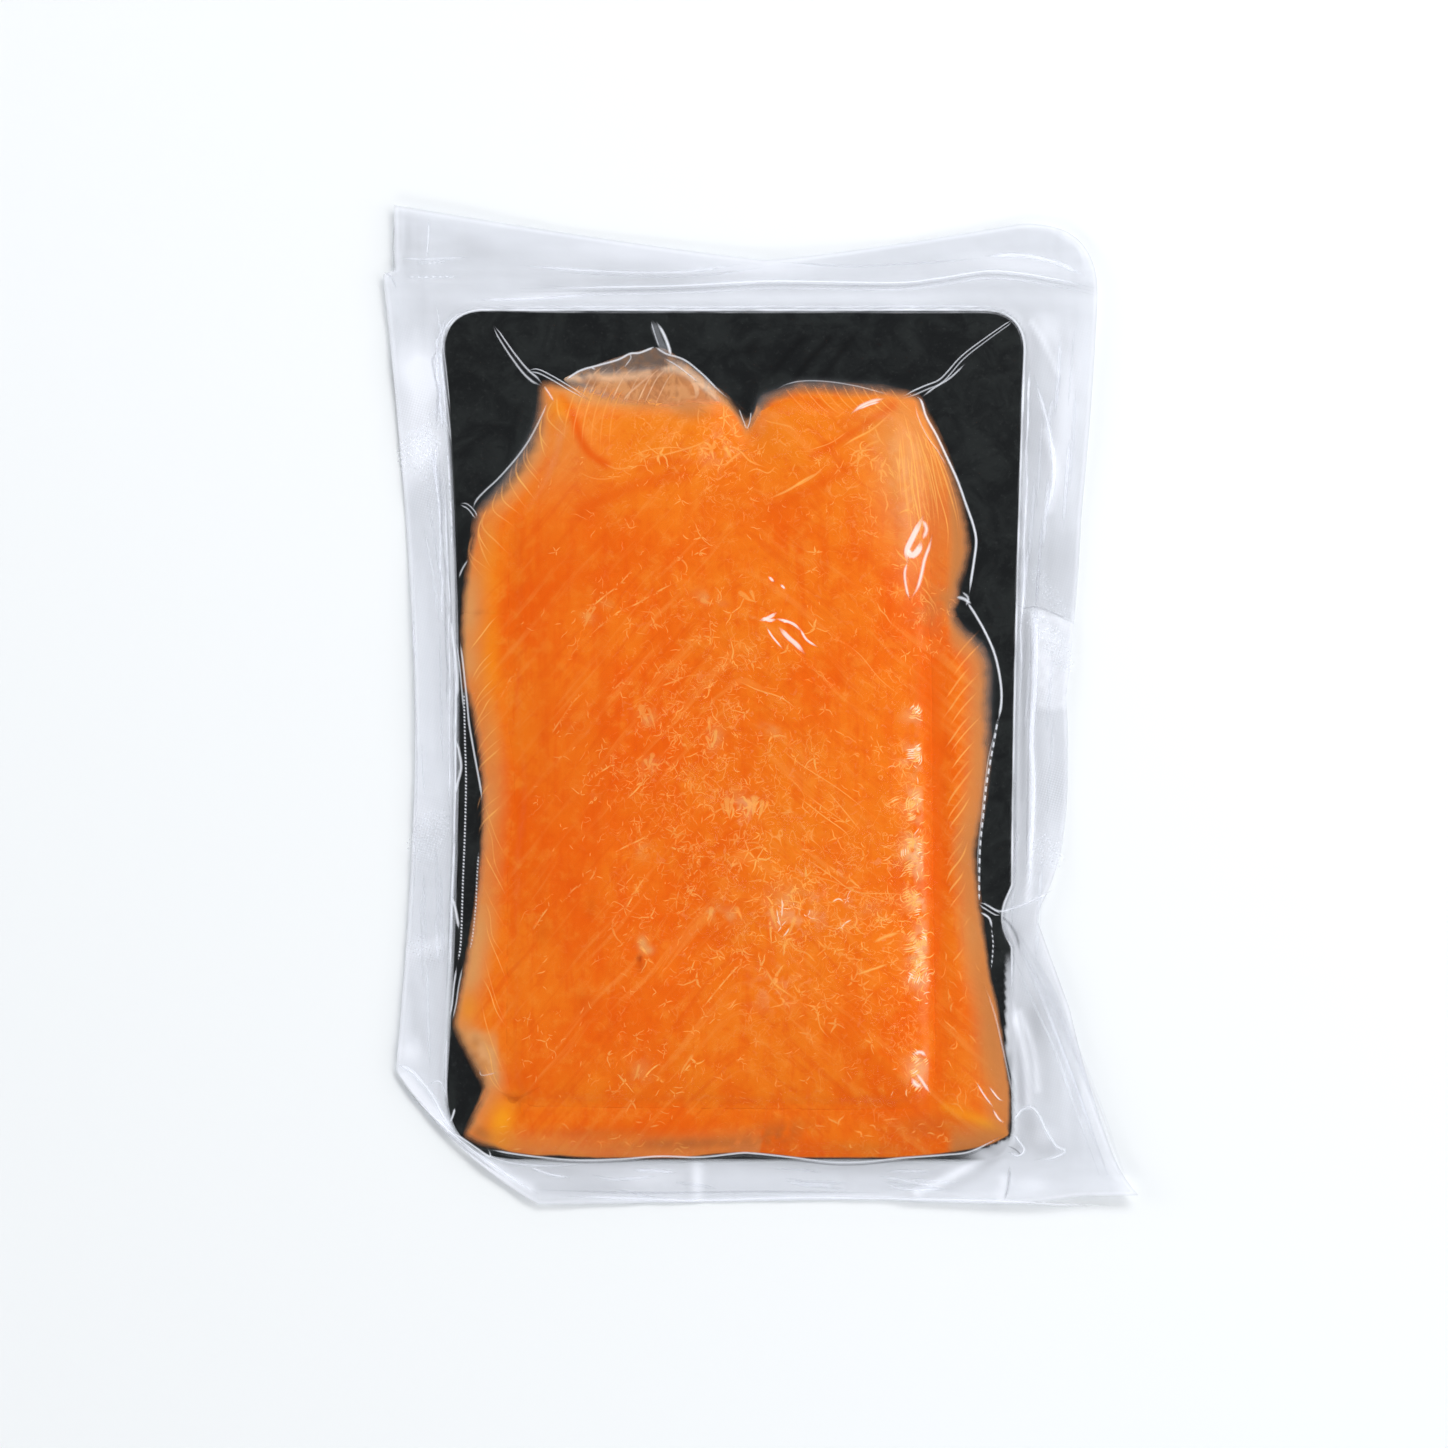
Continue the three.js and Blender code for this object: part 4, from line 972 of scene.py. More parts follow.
# combs of wet wrinkles that stop at the hollow on the right, with painted glints in their white cores
for cy, ry, nests in ((716, 7, 3), (757, 11, 6), (800, 13, 6), (852, 17, 10), (898, 10, 6), (946, 15, 12), (978, 10, 6), (1066, 16, 5)):
    for _ in range(nests):
        Y = cy + rng.uniform(-1, 1) * ry
        edge_x = 921 + 7 * smooth(np.array((Y - 800) / 190.0)).item()
        X = edge_x - 2 - abs(rng.normal(0, 6))
        lead = math.radians(rng.normal(28, 24)) + rng.choice([0, 3.14])
        first = sprout(rng, spot_of((X, Y))[0], lead, rng.uniform(2.4, 5.0), rng.uniform(0.25, 0.5), 0.3)
        pitch, strong = rng.uniform(0.45, 0.66), rng.uniform(1.1, 2.0)
        for j in range(int(rng.integers(3, 7))):
            p = offset(first, pitch * (j - 2)) + rng.normal(0, 0.1, 2)
            p = p[int(rng.integers(0, 3)):len(p) - int(rng.integers(0, 3))]
            p = p[p[:, 0] < (edge_x + 1 - 761) * 0.261]
            if len(p) > 4:
                fat_and_glints.add(p, rng.uniform(0.26, 0.50), strong * rng.uniform(0.7, 1.1), rise=0.05, ends=(0.3, 0.35), section=BROAD)
for cy, ry, count in ((757, 12, 7), (800, 14, 6), (852, 18, 9), (900, 10, 6), (946, 15, 10), (1066, 17, 5)):
    for i in range(count):
        X, Y = rng.uniform(885, 919), rng.normal(cy, ry)
        fat_and_glints.add(sprout(rng, spot_of((X, Y))[0], math.radians(rng.normal(20, 40)) + 3.14, rng.uniform(1.4, 4.5), 0.35, 0.3), rng.uniform(0.26, 0.5), rng.uniform(0.6, 1.3), rise=0.05, ends=(0.3, 0.35))
# the strip's own even painted glitter, between the nests
for i in range(70):
    Y = rng.uniform(768, 1004)
    edge_x = 921 + 7 * smooth(np.array((Y - 800) / 190.0)).item()
    X = edge_x - 1 - abs(rng.normal(0, 4.5))
    fat_and_glints.add(sprout(rng, spot_of((X, Y))[0], math.radians(rng.normal(30, 30)) + rng.choice([0, 3.14]), rng.uniform(1.2, 3.6), 0.55, 0.3), rng.uniform(0.22, 0.34), rng.uniform(0.9, 1.9), rise=0.05, ends=(0.3, 0.35), section=BROAD)
# curls round the fold between the two lobes
for i in range(60):
    X, Y = rng.normal(925, 20), rng.normal(618, 22)
    if d_fish(*[np.array([v]) for v in spot_of((X, Y))[0]])[0] > 1.0:
        fat_and_glints.add(sprout(rng, spot_of((X, Y))[0], rng.uniform(0, 6.28), rng.uniform(1.0, 2.8), 0.7, 0.3), rng.uniform(0.26, 0.42), rng.uniform(0.3, 0.85), rise=0.05, ends=(0.3, 0.35), section=BROAD)
# the lines of the upper part lie beside the painted fold shade as the folds' painted lit side; the later ones are pale
# fat
for pts, w, t in (([(768, 501), (790, 490), (806, 480), (826, 470)], 0.9, 0.75), ([(836, 452), (852, 441), (872, 430), (896, 409)], 0.8, 0.6), ([(640, 461), (668, 455), (700, 445), (716, 432)], 0.7, 0.55),
                  ([(600, 462), (618, 470), (640, 466)], 0.6, 0.4), ([(845, 470), (856, 462), (870, 452)], 0.9, 0.45), ([(858, 456), (868, 446), (884, 440)], 1.1, 0.4),
                  ([(758, 415), (768, 422), (790, 428), (800, 440)], 0.6, 0.4), ([(720, 445), (738, 450), (750, 462), (770, 470)], 0.7, 0.55), ([(722, 470), (734, 458), (746, 450)], 0.8, 0.6),
                  ([(840, 640), (860, 656), (880, 680), (905, 700)], 0.4, 0.5), ([(770, 740), (800, 764), (840, 790), (880, 822)], 0.4, 0.55), ([(800, 790), (830, 812), (866, 836)], 0.4, 0.5),
                  ([(790, 870), (830, 880), (870, 896), (920, 912)], 0.4, 0.45)):
    fat_and_glints.add(curve(spot_of(*pts), 0.6), w, t, ends=(0.3, 0.35))
# red-brown creases, dark rather than pale
for pts, w, t in (([(498, 1089), (506, 1094), (515, 1098), (527, 1093), (541, 1085)], 0.8, 0.13), ([(508, 1094), (512, 1101), (519, 1099)], 0.9, 0.2), ([(519, 1099), (522, 1108), (525, 1117)], 0.8, 0.08),
                  ([(694, 404), (700, 410), (707, 414)], 0.6, 0.2), ([(735, 448), (742, 452), (748, 450)], 0.5, 0.2)):
    fat_and_glints.add(curve(spot_of(*pts), 0.5), w, 0.0, ends=(0.25, 0.3), shade=t)
# fat lines fan from the upper left tip and turn down to the right
for i in range(15):
    u = i / 14
    u = float(np.clip(u + rng.normal(0, 0.025), 0, 1))
    sx, sy = 560 - 92 * u ** 0.9, 392 + 150 * u
    j = rng.normal(0, 3.4, 4)
    p = curve(spot_of((sx, sy), (sx - 1 + j[0], sy + 20), (sx + 8 + 6 * u + j[1], sy + 40 + j[2]), (sx + 20 + 18 * u + j[3], sy + 56)), 0.7)
    fat_and_glints.add(p[:int(len(p) * rng.uniform(0.6, 1.0))], rng.uniform(0.4, 0.65), rng.uniform(0.4, 0.95), ends=(0.15, 0.5), section=BROAD)
for i in range(6):
    sx = 570 + 9 * i
    p = curve(spot_of((sx + 14, 378 + 2 * i), (sx + 4, 396), (sx - 4, 425), (sx - 6, 452 + 3 * i)), 0.7)
    fat_and_glints.add(p, 0.6, rng.uniform(0.25, 0.5), ends=(0.3, 0.5))
# left band, rising to the right below the shoulder and falling again lower down
for i in range(13):
    y0 = 648 + 15.5 * i + rng.normal(0, 5)
    j = rng.normal(0, 1.6, 2)
    p = curve(spot_of((468 + 0.05 * (y0 - 640), y0 + 10), (480 + j[0], y0 - 8), (493 + j[1], y0 - 22), (507, y0 - 33)), 0.7)
    a, b = int(len(p) * rng.uniform(0, 0.25)), int(len(p) * rng.uniform(0.75, 1.0))
    fat_and_glints.add(p[a:max(b, a + 4)], rng.uniform(0.4, 0.6), rng.uniform(0.35, 0.9), ends=(0.25, 0.35), section=BROAD)
for i in range(11):
    y0, run_ = 790 + 27 * i + rng.normal(0, 8), rng.uniform(36, 84)
    p = curve(spot_of((483 + rng.normal(0, 1.5), y0), (488 + rng.normal(0, 1.5), y0 + 0.3 * run_), (497 + rng.normal(0, 2), y0 + 0.65 * run_), (509, y0 + run_)), 0.7)
    fat_and_glints.add(p, rng.uniform(0.32, 0.5), rng.uniform(0.25, 0.75), ends=(0.25, 0.4))
# right shoulder, close and upright
for i in range(17):
    u = i / 16
    top_x, j = 893 + 24 * u, rng.normal(0, 2.0, 3)
    p = curve(spot_of((top_x, 404 + 10 * u), (top_x + 4 + 12 * u + j[0], 440), (top_x + 8 + 24 * u + j[1], 485), (top_x + 10 + 33 * u + j[2], 530), (top_x + 8 + 32 * u, 572)), 0.7)
    a, b = int(len(p) * rng.uniform(0, 0.3)), int(len(p) * rng.uniform(0.6, 1.0))
    fat_and_glints.add(p[a:b], rng.uniform(0.35, 0.6), rng.uniform(0.3, 0.85), ends=(0.12, 0.4), section=BROAD)
for i in range(22):
    X, Y = rng.uniform(872, 930), rng.uniform(425, 640)
    p = wander(rng, spot_of((X, Y))[0], math.radians(-72 + rng.normal(0, 14)), rng.uniform(4, 11), 0.25)
    fat_and_glints.add(p, rng.uniform(0.4, 0.8), rng.uniform(0.35, 0.75), ends=(0.3, 0.4))
# upper right edge, falling to the right
for i in range(12):
    sx = 785 + 9.5 * i
    p = curve(spot_of((sx, 388 - 5 * math.sin(math.pi * i / 11)), (sx + 7, 397), (sx + 17, 408), (sx + 30, 417)), 0.6)
    fat_and_glints.add(p, rng.uniform(0.4, 0.6), rng.uniform(0.15, 0.6), ends=(0.1, 0.4))
# right band, rising steeply to the right
for i in range(17):
    y0 = 668 + 15 * i + rng.normal(0, 2)
    reach_x = 986 - 16 * smooth(np.array((y0 - 760) / 130.0)).item()
    p = curve(spot_of((938 + 6 * (i > 5), y0 + 12), (950, y0 - 4), (963, y0 - 22), (reach_x, y0 - 46)), 0.7)
    a, b = int(len(p) * rng.uniform(0, 0.3)), int(len(p) * rng.uniform(0.7, 1.0))
    fat_and_glints.add(p[a:max(b, a + 4)], rng.uniform(0.45, 0.7), rng.uniform(0.35, 0.85), ends=(0.3, 0.3), section=BROAD)
for i in range(26):
    X, Y = rng.uniform(940, 985), rng.uniform(920, 1110)
    p = wander(rng, spot_of((X, Y))[0], math.radians(rng.choice([70, -62]) + rng.normal(0, 15)), rng.uniform(2.5, 7), 0.4)
    fat_and_glints.add(p, rng.uniform(0.35, 0.7), rng.uniform(0.25, 0.6), ends=(0.3, 0.4))
# loose flecks along the bottom fold
for i in range(46):
    X = rng.uniform(500, 960)
    p = wander(rng, spot_of((X, rng.uniform(1118, 1152)))[0], math.radians(rng.normal(10, 45)), rng.uniform(1.5, 5), 0.5)
    fat_and_glints.add(p, rng.uniform(0.35, 0.8), rng.uniform(0.25, 0.7), ends=(0.3, 0.4))
def fat_and_glint_attrs(x, y, value, shade):
    inside = d_top(x, y) > 0.8
    a, b = top_attrs(x, y, value), low_attrs(x, y, value)
    attrs = {key: np.where(inside, a[key], b[key]) for key in a}
    attrs["spot"] = np.clip(attrs["spot"] + shade, 0, 1)
    attrs["dim"] = attrs["dim"] * (1 - 0.85 * np.clip(value, 0, 1))
    return attrs


over_flesh = lambda x, y: np.where(d_fish(x, y) > 0, content_height(x, y), Z_FISH + 0.3)
finish_piece(fat_and_glints.make("fish_fat_lines_and_painted_glints", over_flesh, 0.035, fat_and_glint_attrs), FLESH, "fish", shadow=False)

# ---- the thin membrane at the top left
g = patch(flap, [(-52.0, 85.3), (-28, 93.8), (-6.0, 77.3), (-29, 75.4)], STEP)
x, y = g[..., 0], g[..., 1]
thin = lambda x, y: Z_FISH + 0.25 + 0.55 * smooth(d_flap(x, y) / 3) + 0.18 * noise(x, y, 4, 11)
def low_side(x, y):
    """0 where the membrane lies alone, 1 where it has thinned out to nothing over the flesh."""
    X, Y = frame_of(x, y)
    ragged = 5 * noise(x, y, 9, 13) + 4 * noise(x, y, 3, 15)
    return np.maximum(smooth((Y - 389 - 6 * smooth((X - 610) / 60) - ragged) / 18), smooth((2.4 - d_flap(x, y)) / 2.0) * smooth((Y - 388) / 8))

MEMBRANE_LOOK = membrane_material()


def cream(x, y):
    """The cream rim of the flesh under the membrane."""
    X, Y = frame_of(x, y)
    return 0.6 * near(X, Y, [(564, 378), (585, 377), (615, 378), (650, 374), (672, 368), (690, 376), (708, 388)], 4.0) * smooth((noise(x, y, 3, 14, 2) + 0.9) / 0.8)


under = lambda x, y: np.maximum(thin(x, y), over_flesh(x, y) + 0.04)
def veil_edge(x, y):
    """How far in from the membrane's rim a place counts: it stays thin near the top."""
    X, Y = frame_of(x, y)
    return np.minimum(d_flap(x, y), 0.2 + 3.4 * smooth((Y - 360 - 0.10 * np.abs(X - 655)) / 17))


finish_piece(build("fish_membrane", g, under(x, y), Z_FISH - 0.02, dict(edge=veil_edge(x, y), low=low_side(x, y), tone=cream(x, y))),
             MEMBRANE_LOOK, "membrane", "membrane_flap", shadow=False)
veins = Strokes()
for i in range(8):
    sx = 577 + 12.5 * i + rng.normal(0, 3)
    veins.add(curve(spot_of((sx + 22, 366 + 0.2 * i), (sx + 10, 378), (sx, 398), (sx - 6, 412)), 0.6), 0.55, rng.uniform(0.25, 0.6), ends=(0.2, 0.4))
veins.add(curve(spot_of((655, 372), (640, 384), (628, 395), (622, 404)), 0.6), 0.8, 0.5)
veins.add(curve(spot_of((664, 360), (690, 378), (697, 392), (694, 402)), 0.6), 1.6, 0.5, section=BROAD)
veins.add(curve(spot_of((668, 358), (690, 372), (712, 392), (730, 410)), 0.6), 2.4, 0.4, section=BROAD)
finish_piece(veins.make("fish_membrane_veins", under, 0.04, lambda x, y, v, s: dict(edge=veil_edge(x, y), low=low_side(x, y), tone=np.maximum(v, cream(x, y)))),
             MEMBRANE_LOOK, "membrane", shadow=False)

g = patch(card, [CARD[0][0], CARD[1][0], CARD[2][0], CARD[3][0]], 1.0)
x, y = g[..., 0], g[..., 1]
X, Y = frame_of(x, y)
streak = (0.7 * near(X, Y, [(772, 374), (790, 352), (802, 338)], 4) + 0.8 * near(X, Y, [(786, 392), (808, 362), (830, 338)], 3.5) + 0.7 * near(X, Y, [(818, 384), (834, 362), (852, 338)], 4)
          + 0.5 * near(X, Y, [(748, 352), (756, 340)], 5) + 0.3 * near(X, Y, [(700, 352), (760, 350)], 6))
zc = Z_CARD_TOP - 0.28 * (1 - smooth(d_card(x, y) / 0.9)) + 0.03 * noise(x, y, 14, 12)
finish_piece(build("card_black", g, zc, Z_CARD, dict(streak=np.clip(streak, 0, 1))), card_material(), "card", "card_board")


# ---------------------------------------------------------------- film
def film_attrs(x, y, value=None, shade=None):
    X, Y = frame_of(x, y)
    dc, dp, df = d_card(x, y), d_pouch(x, y), d_fish(x, y)
    grow = lambda cx, cy, rx, ry, turn=0.0: gauss(X, Y, cx, cy, rx, ry, turn)
    by = lambda width, *points: near(X, Y, list(points), width)
    margin = smooth(-dc / 1.0)
    top_side, low_side = smooth((y - 98) / 6), smooth((-y - 112) / 5)
    ends = np.maximum(top_side, low_side)
    flow = noise(x * 0.22, y * 1.2, 5, 61, 3) * ends + noise(x * 1.3, y * 0.13, 5, 62, 3) * (1 - ends)
    cloud = noise(x, y, 22, 63)
    haze = 0.62 + 0.05 * flow
    tone = 0.055 - 0.04 * flow - 0.04 * cloud + 0.10 * noise(x * 3, y * 0.3, 3, 67, 2) * grow(410, 242, 20, 36)
    # painted highlights: paler where the film catches the light
    pale = (1.1 * grow(420, 370, 32, 24, 20) + 0.9 * grow(418, 415, 20, 40, 8) + 0.9 * grow(424, 455, 16, 30, 35) + 0.5 * grow(425, 815, 12, 24) + 0.7 * grow(425, 948, 24, 9, -18)
            + 0.6 * grow(1072, 390, 16, 60, 8) + 0.5 * grow(1066, 480, 12, 50) + 0.4 * grow(1050, 850, 16, 24) + 0.6 * grow(1048, 330, 12, 18, -30)
            + 0.9 * grow(697, 1180, 6, 20) + 0.5 * grow(1045, 1135, 14, 12) + 0.9 * grow(410, 1052, 12, 12, 35) + 0.8 * by(5, (404, 1076), (424, 1100), (448, 1128)) + 0.5 * by(5, (470, 1150), (500, 1172), (530, 1188)) + 0.5 * grow(770, 268, 40, 9) + 0.6 * grow(1010, 262, 60, 10, 8)
            + 0.45 * grow(620, 250, 120, 16, 7) + 0.5 * grow(540, 296, 40, 4, -6) + 0.45 * grow(760, 298, 240, 6) + 0.6 * grow(1090, 560, 10, 20)
            + 0.6 * by(5, (1004, 1180), (1000, 1195)) + 0.5 * grow(1030, 1185, 18, 8) + 0.5 * grow(650, 1180, 30, 10)
            + 1.0 * by(3.4, (1009, 1004), (1019, 1030), (1025, 1062), (1029, 1105)) + 0.6 * by(3, (1020, 1012), (1034, 1050), (1038, 1090))
            + 0.9 * by(4.5, (988, 1154), (966, 1168), (940, 1182), (918, 1192)) + 0.9 * by(2.8, (1034, 612), (1035, 650), (1033, 700), (1031, 740), (1033, 780), (1031, 860), (1028, 900))
            + 0.5 * by(3, (1032, 322), (1046, 345), (1058, 372)) + 0.5 * by(4, (1046, 430), (1056, 470), (1050, 510)))
    # painted shade and shadow: darker where it turns down to the floor, below the flesh's bottom edge, and in the folds
    painted_shade = (0.75 * np.exp(dc / 2.0) * smooth((X - 985) / 20) * smooth((Y - 318) / 20) * smooth((1080 - Y) / 100)
            + 0.30 * np.exp(dc / 1.2) * smooth((480 - X) / 20) * (0.7 + 0.5 * flow)
            + 0.45 * grow(840, 1168, 90, 7, 2) + 0.25 * grow(600, 1166, 70, 5) + 0.3 * grow(1040, 1020, 14, 40, 12) + 0.35 * by(5, (992, 1162), (975, 1176), (950, 1188))
            + 0.4 * by(4, (1008, 1020), (1014, 1060), (1019, 1100)) + 0.25 * by(5, (1032, 1010), (1046, 1050), (1048, 1100)) + 0.3 * grow(1016, 1150, 10, 8)
            + 0.25 * grow(590, 1188, 60, 7) + 0.3 * grow(1020, 930, 12, 24, 30) + 0.34 * grow(410, 245, 16, 36) + 0.3 * by(6, (412, 985), (416, 1020), (426, 1050)) + 0.25 * grow(560, 1172, 40, 6, 8) + 0.25 * grow(470, 245, 20, 12, 20) + 0.2 * grow(430, 305, 22, 18)
            + 0.25 * by(3, (540, 281), (640, 280), (760, 275)) + 0.3 * by(2.5, (560, 291), (700, 289), (860, 286), (940, 281)) + 0.25 * grow(1050, 560, 26, 30)
            + 0.2 * grow(1040, 430, 16, 40) + 0.55 * by(4.5, (1021, 334), (1025, 360), (1026, 400), (1024, 450)) + 0.25 * by(5, (1060, 330), (1072, 360), (1078, 400)) + 0.3 * by(3, (1026, 620), (1024, 700), (1022, 800)))
    # painted highlight on the bright patch of the right margin, with painted shade just above it and beside the card's
    # edge
    lit = smooth((Y - 607 - 0.35 * (X - 1036)) / 4) * smooth((706 - Y + 10 * noise(x, y, 6, 70)) / 12) * smooth((X - 1035) / 4)
    pale = pale + 0.9 * lit * (0.85 + 0.35 * noise(x, y, 1.8, 71, 2)) - 0.35 * smooth((612 - Y) / 6) * smooth((Y - 520) / 40) * smooth((X - 1020) / 10)
    painted_shade = painted_shade + 0.30 * smooth((X - 1019) / 5) * smooth((1032 - X) / 5) * smooth((Y - 606) / 8) * smooth((900 - Y) / 80)
    painted_shade = painted_shade + 0.5 * np.clip(grow(1034, 1132, 13, 20, -25) + grow(1046, 1148, 14, 8, 10), 0, 1) + 0.3 * grow(1018, 1146, 7, 9)
    # a painted highlight just inside the pouch's edge, and a painted dark line on the edge itself
    haze = haze + 0.36 * np.clip(pale, 0, 1.1) + 0.22 * painted_shade + 0.12 * np.exp(-((dp - 0.5) / 0.45) ** 2)
    tone = tone - 0.16 * pale + 0.42 * painted_shade - 0.05 * np.exp(-((dp - 0.5) / 0.45) ** 2) + 0.10 * np.exp(-(dp / 0.25) ** 2)
    # a grey veil over the soft rims of the flesh
    veil = (0.20 * np.exp(-((df - 1.3) / 1.2) ** 2) * (0.5 * grow(822, 385, 75, 22) + 0.7 * grow(505, 460, 50, 50) + 0.5 * grow(760, 405, 12, 16) + 0.4 * grow(985, 680, 30, 90))
            )
    over = smooth(df / 2)
    # at the lower right the film is bunched over the card's corner and hides it
    bunch = smooth((-df - 0.1) / 0.5) * np.clip(1.7 * grow(1002, 1152, 26, 13) + smooth((1.5 - dc) / 0.5) * smooth((X - 990) / 6) * smooth((Y - 950) / 30) * smooth((1100 - Y) / 30), 0, 1)
    inner = 0.004 + veil + 0.93 * bunch
    inner_tone = np.clip(veil * 1.2, 0, 0.35) + bunch * (0.42 + 0.25 * noise(x, y, 5, 69))
    haze = np.where(dc > 0, inner, haze * margin + inner * (1 - margin))
    tone = np.where(dc > 0, inner_tone, tone * margin + inner_tone * (1 - margin))
    stamp = margin * (1 - ends) * (0.12 + 1.0 * (grow(418, 412, 22, 24, 20) + grow(432, 470, 14, 34) + grow(428, 830, 15, 26) + grow(424, 952, 20, 12) + grow(1046, 700, 12, 16)
                                                + grow(1052, 790, 14, 26) + 0.7 * grow(1056, 650, 14, 30) + 0.8 * grow(1050, 852, 14, 20)))
    clip = lambda v: np.clip(v, 0, 1)
    warm = smooth((df - 0.3) / 1.6)
    if value is None:
        wet = flesh_attrs(x, y, df)["wet"] * smooth(df / 3)
        return dict(haze=clip(haze), shade=clip(tone), wet=wet, warm=warm, stamp=clip(stamp))
    return dict(haze=clip(value), shade=clip(shade), wet=0 * x, warm=warm * np.clip(1.4 - value, 0.3, 1), stamp=0 * x)


FILM_STEP = 0.78
FRONT_CORNERS = [(-95.8, 130.8), (85.5, 123.5), (98.4, -127.6), (-78.0, -116.8)]
g = patch(pouch, FRONT_CORNERS, FILM_STEP)
x, y = g[..., 0], g[..., 1]
FILM = film_material("film_clear", (0.982, 0.984, 0.988, 1))
finish_piece(build("film_front_ply", g, film_height(x, y), None, film_attrs(x, y)), FILM, "film", "film_front")

# ---- creases and folds of the film, with painted highlights and painted shade along them
crease = Strokes()
M = 0.261


def mark(points, width, value=0.9, step=0.6, **how):
    """A crease drawn in the frame's pixels, like its width, which may taper from one figure to another. Its value
    paints it white as a painted highlight, its shade dark as painted shade.
    """
    p = curve(spot_of(*points), step)
    crease.add(p, (np.linspace(*width, len(p)) if isinstance(width, tuple) else width) * M, value, **how)


def beaded(points, width, value, period, duty=0.5, **how):
    p = curve(spot_of(*points), 0.2)
    on = 0.5 + 0.5 * np.clip(4 * np.cos(np.arange(len(p)) * 0.2 / (period * M) * 2 * math.pi) + 4 * (duty * 2 - 1), -1, 1)
    crease.add(p, width * M, value, beads=0.12 + 0.88 * on, **how)


# upper left fork, the leaf, and the long fold to the upper right corner
mark([(493, 325), (503, 341), (514, 357), (527, 373), (543, 386)], (5, 10), 0.8, rise=0.5, section=FOLD, ends=(0.15, 0.15))
mark([(526, 372), (537, 371), (552, 378), (572, 390), (592, 402)], 5.5, 0.85, rise=0.4, section=FOLD, ends=(0.15, 0.35))
mark([(652, 320), (657, 334), (662, 346), (667, 356)], 9, 0.16, rise=0.4, section=BROAD)
mark([(656, 321), (663, 333), (668, 345), (671, 356)], 4.2, 1.0, rise=0.5, ends=(0.3, 0.1))
mark([(651, 321), (655, 335), (660, 349)], 2.2, 0.5, rise=0.3)
mark([(1012, 321), (985, 340), (962, 358), (942, 380), (925, 388), (898, 400)], (4, 7), 0.75, rise=0.5, section=FOLD, ends=(0.04, 0.15))
mark([(966, 363), (950, 378), (934, 388), (921, 398)], 2.4, 0.7, rise=0.3)
# the line where the film leaves the slices on the right and meets the card, drawn as a painted highlight
arch = [(915, 396), (921, 401), (926, 417), (936, 435), (946, 456), (957, 480), (966, 505), (973, 525), (976, 541), (974, 560), (971, 580), (969, 596)]
mark(arch, 3.4, 1.0, rise=0.35, ends=(0.05, 0.08))
mark([(914, 402), (918, 418), (927, 437), (938, 452), (948, 470)], 2.0, 0.45, rise=0.2)
mark([(956, 597), (964, 599), (971, 604)], 4.5, 0.8, rise=0.3)
mark([(962, 592), (968, 598), (966, 606)], 3.5, 0.6, rise=0.3)
mark([(967, 602), (976, 616), (985, 632), (993, 650), (998, 668), (1001, 688), (1001, 704), (998, 722)], 3.4, 0.95, rise=0.35, ends=(0.05, 0.1))
beaded([(998, 718), (994, 740), (990, 762), (986, 786), (983, 815), (980, 845), (979, 875), (979, 903)], 2.9, 0.95, 9, 0.62, rise=0.3, ends=(0.03, 0.05))
mark([(998, 716), (993, 738), (988, 760), (984, 790), (981, 820), (978, 850), (977, 885)], 1.6, 0.4, rise=0.2)
mark([(979, 903), (986, 907), (994, 912), (1001, 915)], 6, 0.85, rise=0.4, section=FOLD)
mark([(980, 912), (989, 918), (992, 928)], 3, 0.9, rise=0.3)
beaded([(991, 926), (993, 945), (991, 970)], 2.2, 0.8, 5, 0.45, rise=0.2)
mark([(984, 985), (990, 1000), (996, 1020), (1003, 1050), (1009, 1078), (1013, 1100)], 2.6, 0.35, rise=0.2)
# left side
mark([(548, 402), (541, 418), (530, 439), (519, 455), (509, 467), (497, 480), (485, 491), (476, 501), (473, 510)], 2.7, 0.62, rise=0.3, ends=(0.08, 0.08))
mark([(544, 386), (550, 395), (554, 402)], 3, 0.7, rise=0.3)
mark([(460, 504), (467, 506), (473, 512), (477, 519)], 5.5, 0.7, rise=0.3, section=FOLD)
mark([(459, 578), (462, 570), (468, 560)], 2.6, 0.6, rise=0.2)
mark([(460, 640), (463, 662), (467, 700), (469, 722), (473, 746), (477, 768), (481, 790), (482, 803)], 2.8, 0.8, rise=0.3, ends=(0.1, 0.1))
mark([(455, 636), (459, 660), (462, 690), (464, 715)], 2.2, 0.7, rise=0.3)
beaded([(464, 690), (465, 740), (466, 780), (465, 830), (463, 880), (461, 940), (458, 962)], 2.7, 0.95, 3.4, 0.45, rise=0.2, ends=(0.03, 0.03))
beaded([(479, 850), (477, 880), (476, 905), (473, 935), (470, 950)], 2.4, 0.75, 3.6, 0.45, rise=0.2, ends=(0.1, 0.05))
# membrane outline
mark([(566, 380), (580, 371), (597, 366), (618, 360), (630, 354), (640, 353), (655, 347)], 3.0, 0.85, rise=0.3, ends=(0.05, 0.05))
mark([(655, 347), (666, 354), (684, 360), (702, 374), (718, 390), (733, 402)], 2.8, 0.7, rise=0.3, ends=(0.05, 0.3))
mark([(662, 357), (680, 368), (700, 384)], 2.2, 0.5, rise=0.2)
mark([(628, 352), (631, 358), (624, 368)], 2, 0.5, rise=0.2)
mark([(590, 367), (596, 370)], 2.5, 0.6, rise=0.2)
mark([(772, 392), (788, 384), (806, 381), (830, 382), (855, 386), (878, 392), (897, 398)], 1.8, 0.4, rise=0.1)
# where the film turns down over the card's edge: painted highlight lines, with painted shade between some of them
side_of = {"top": (-76, 66, 103), "right": (), "left": ()}
ring_c = card
cx_, cy_ = ring_c[:, 0], ring_c[:, 1]
i0 = int(np.argmin(np.hypot(cx_ + 83, cy_ - 70)))
loop_c = np.roll(ring_c, -i0, 0)
edge_curve = resample(np.vstack([loop_c, loop_c[:1]]), 900)
jit = np.random.default_rng(21)


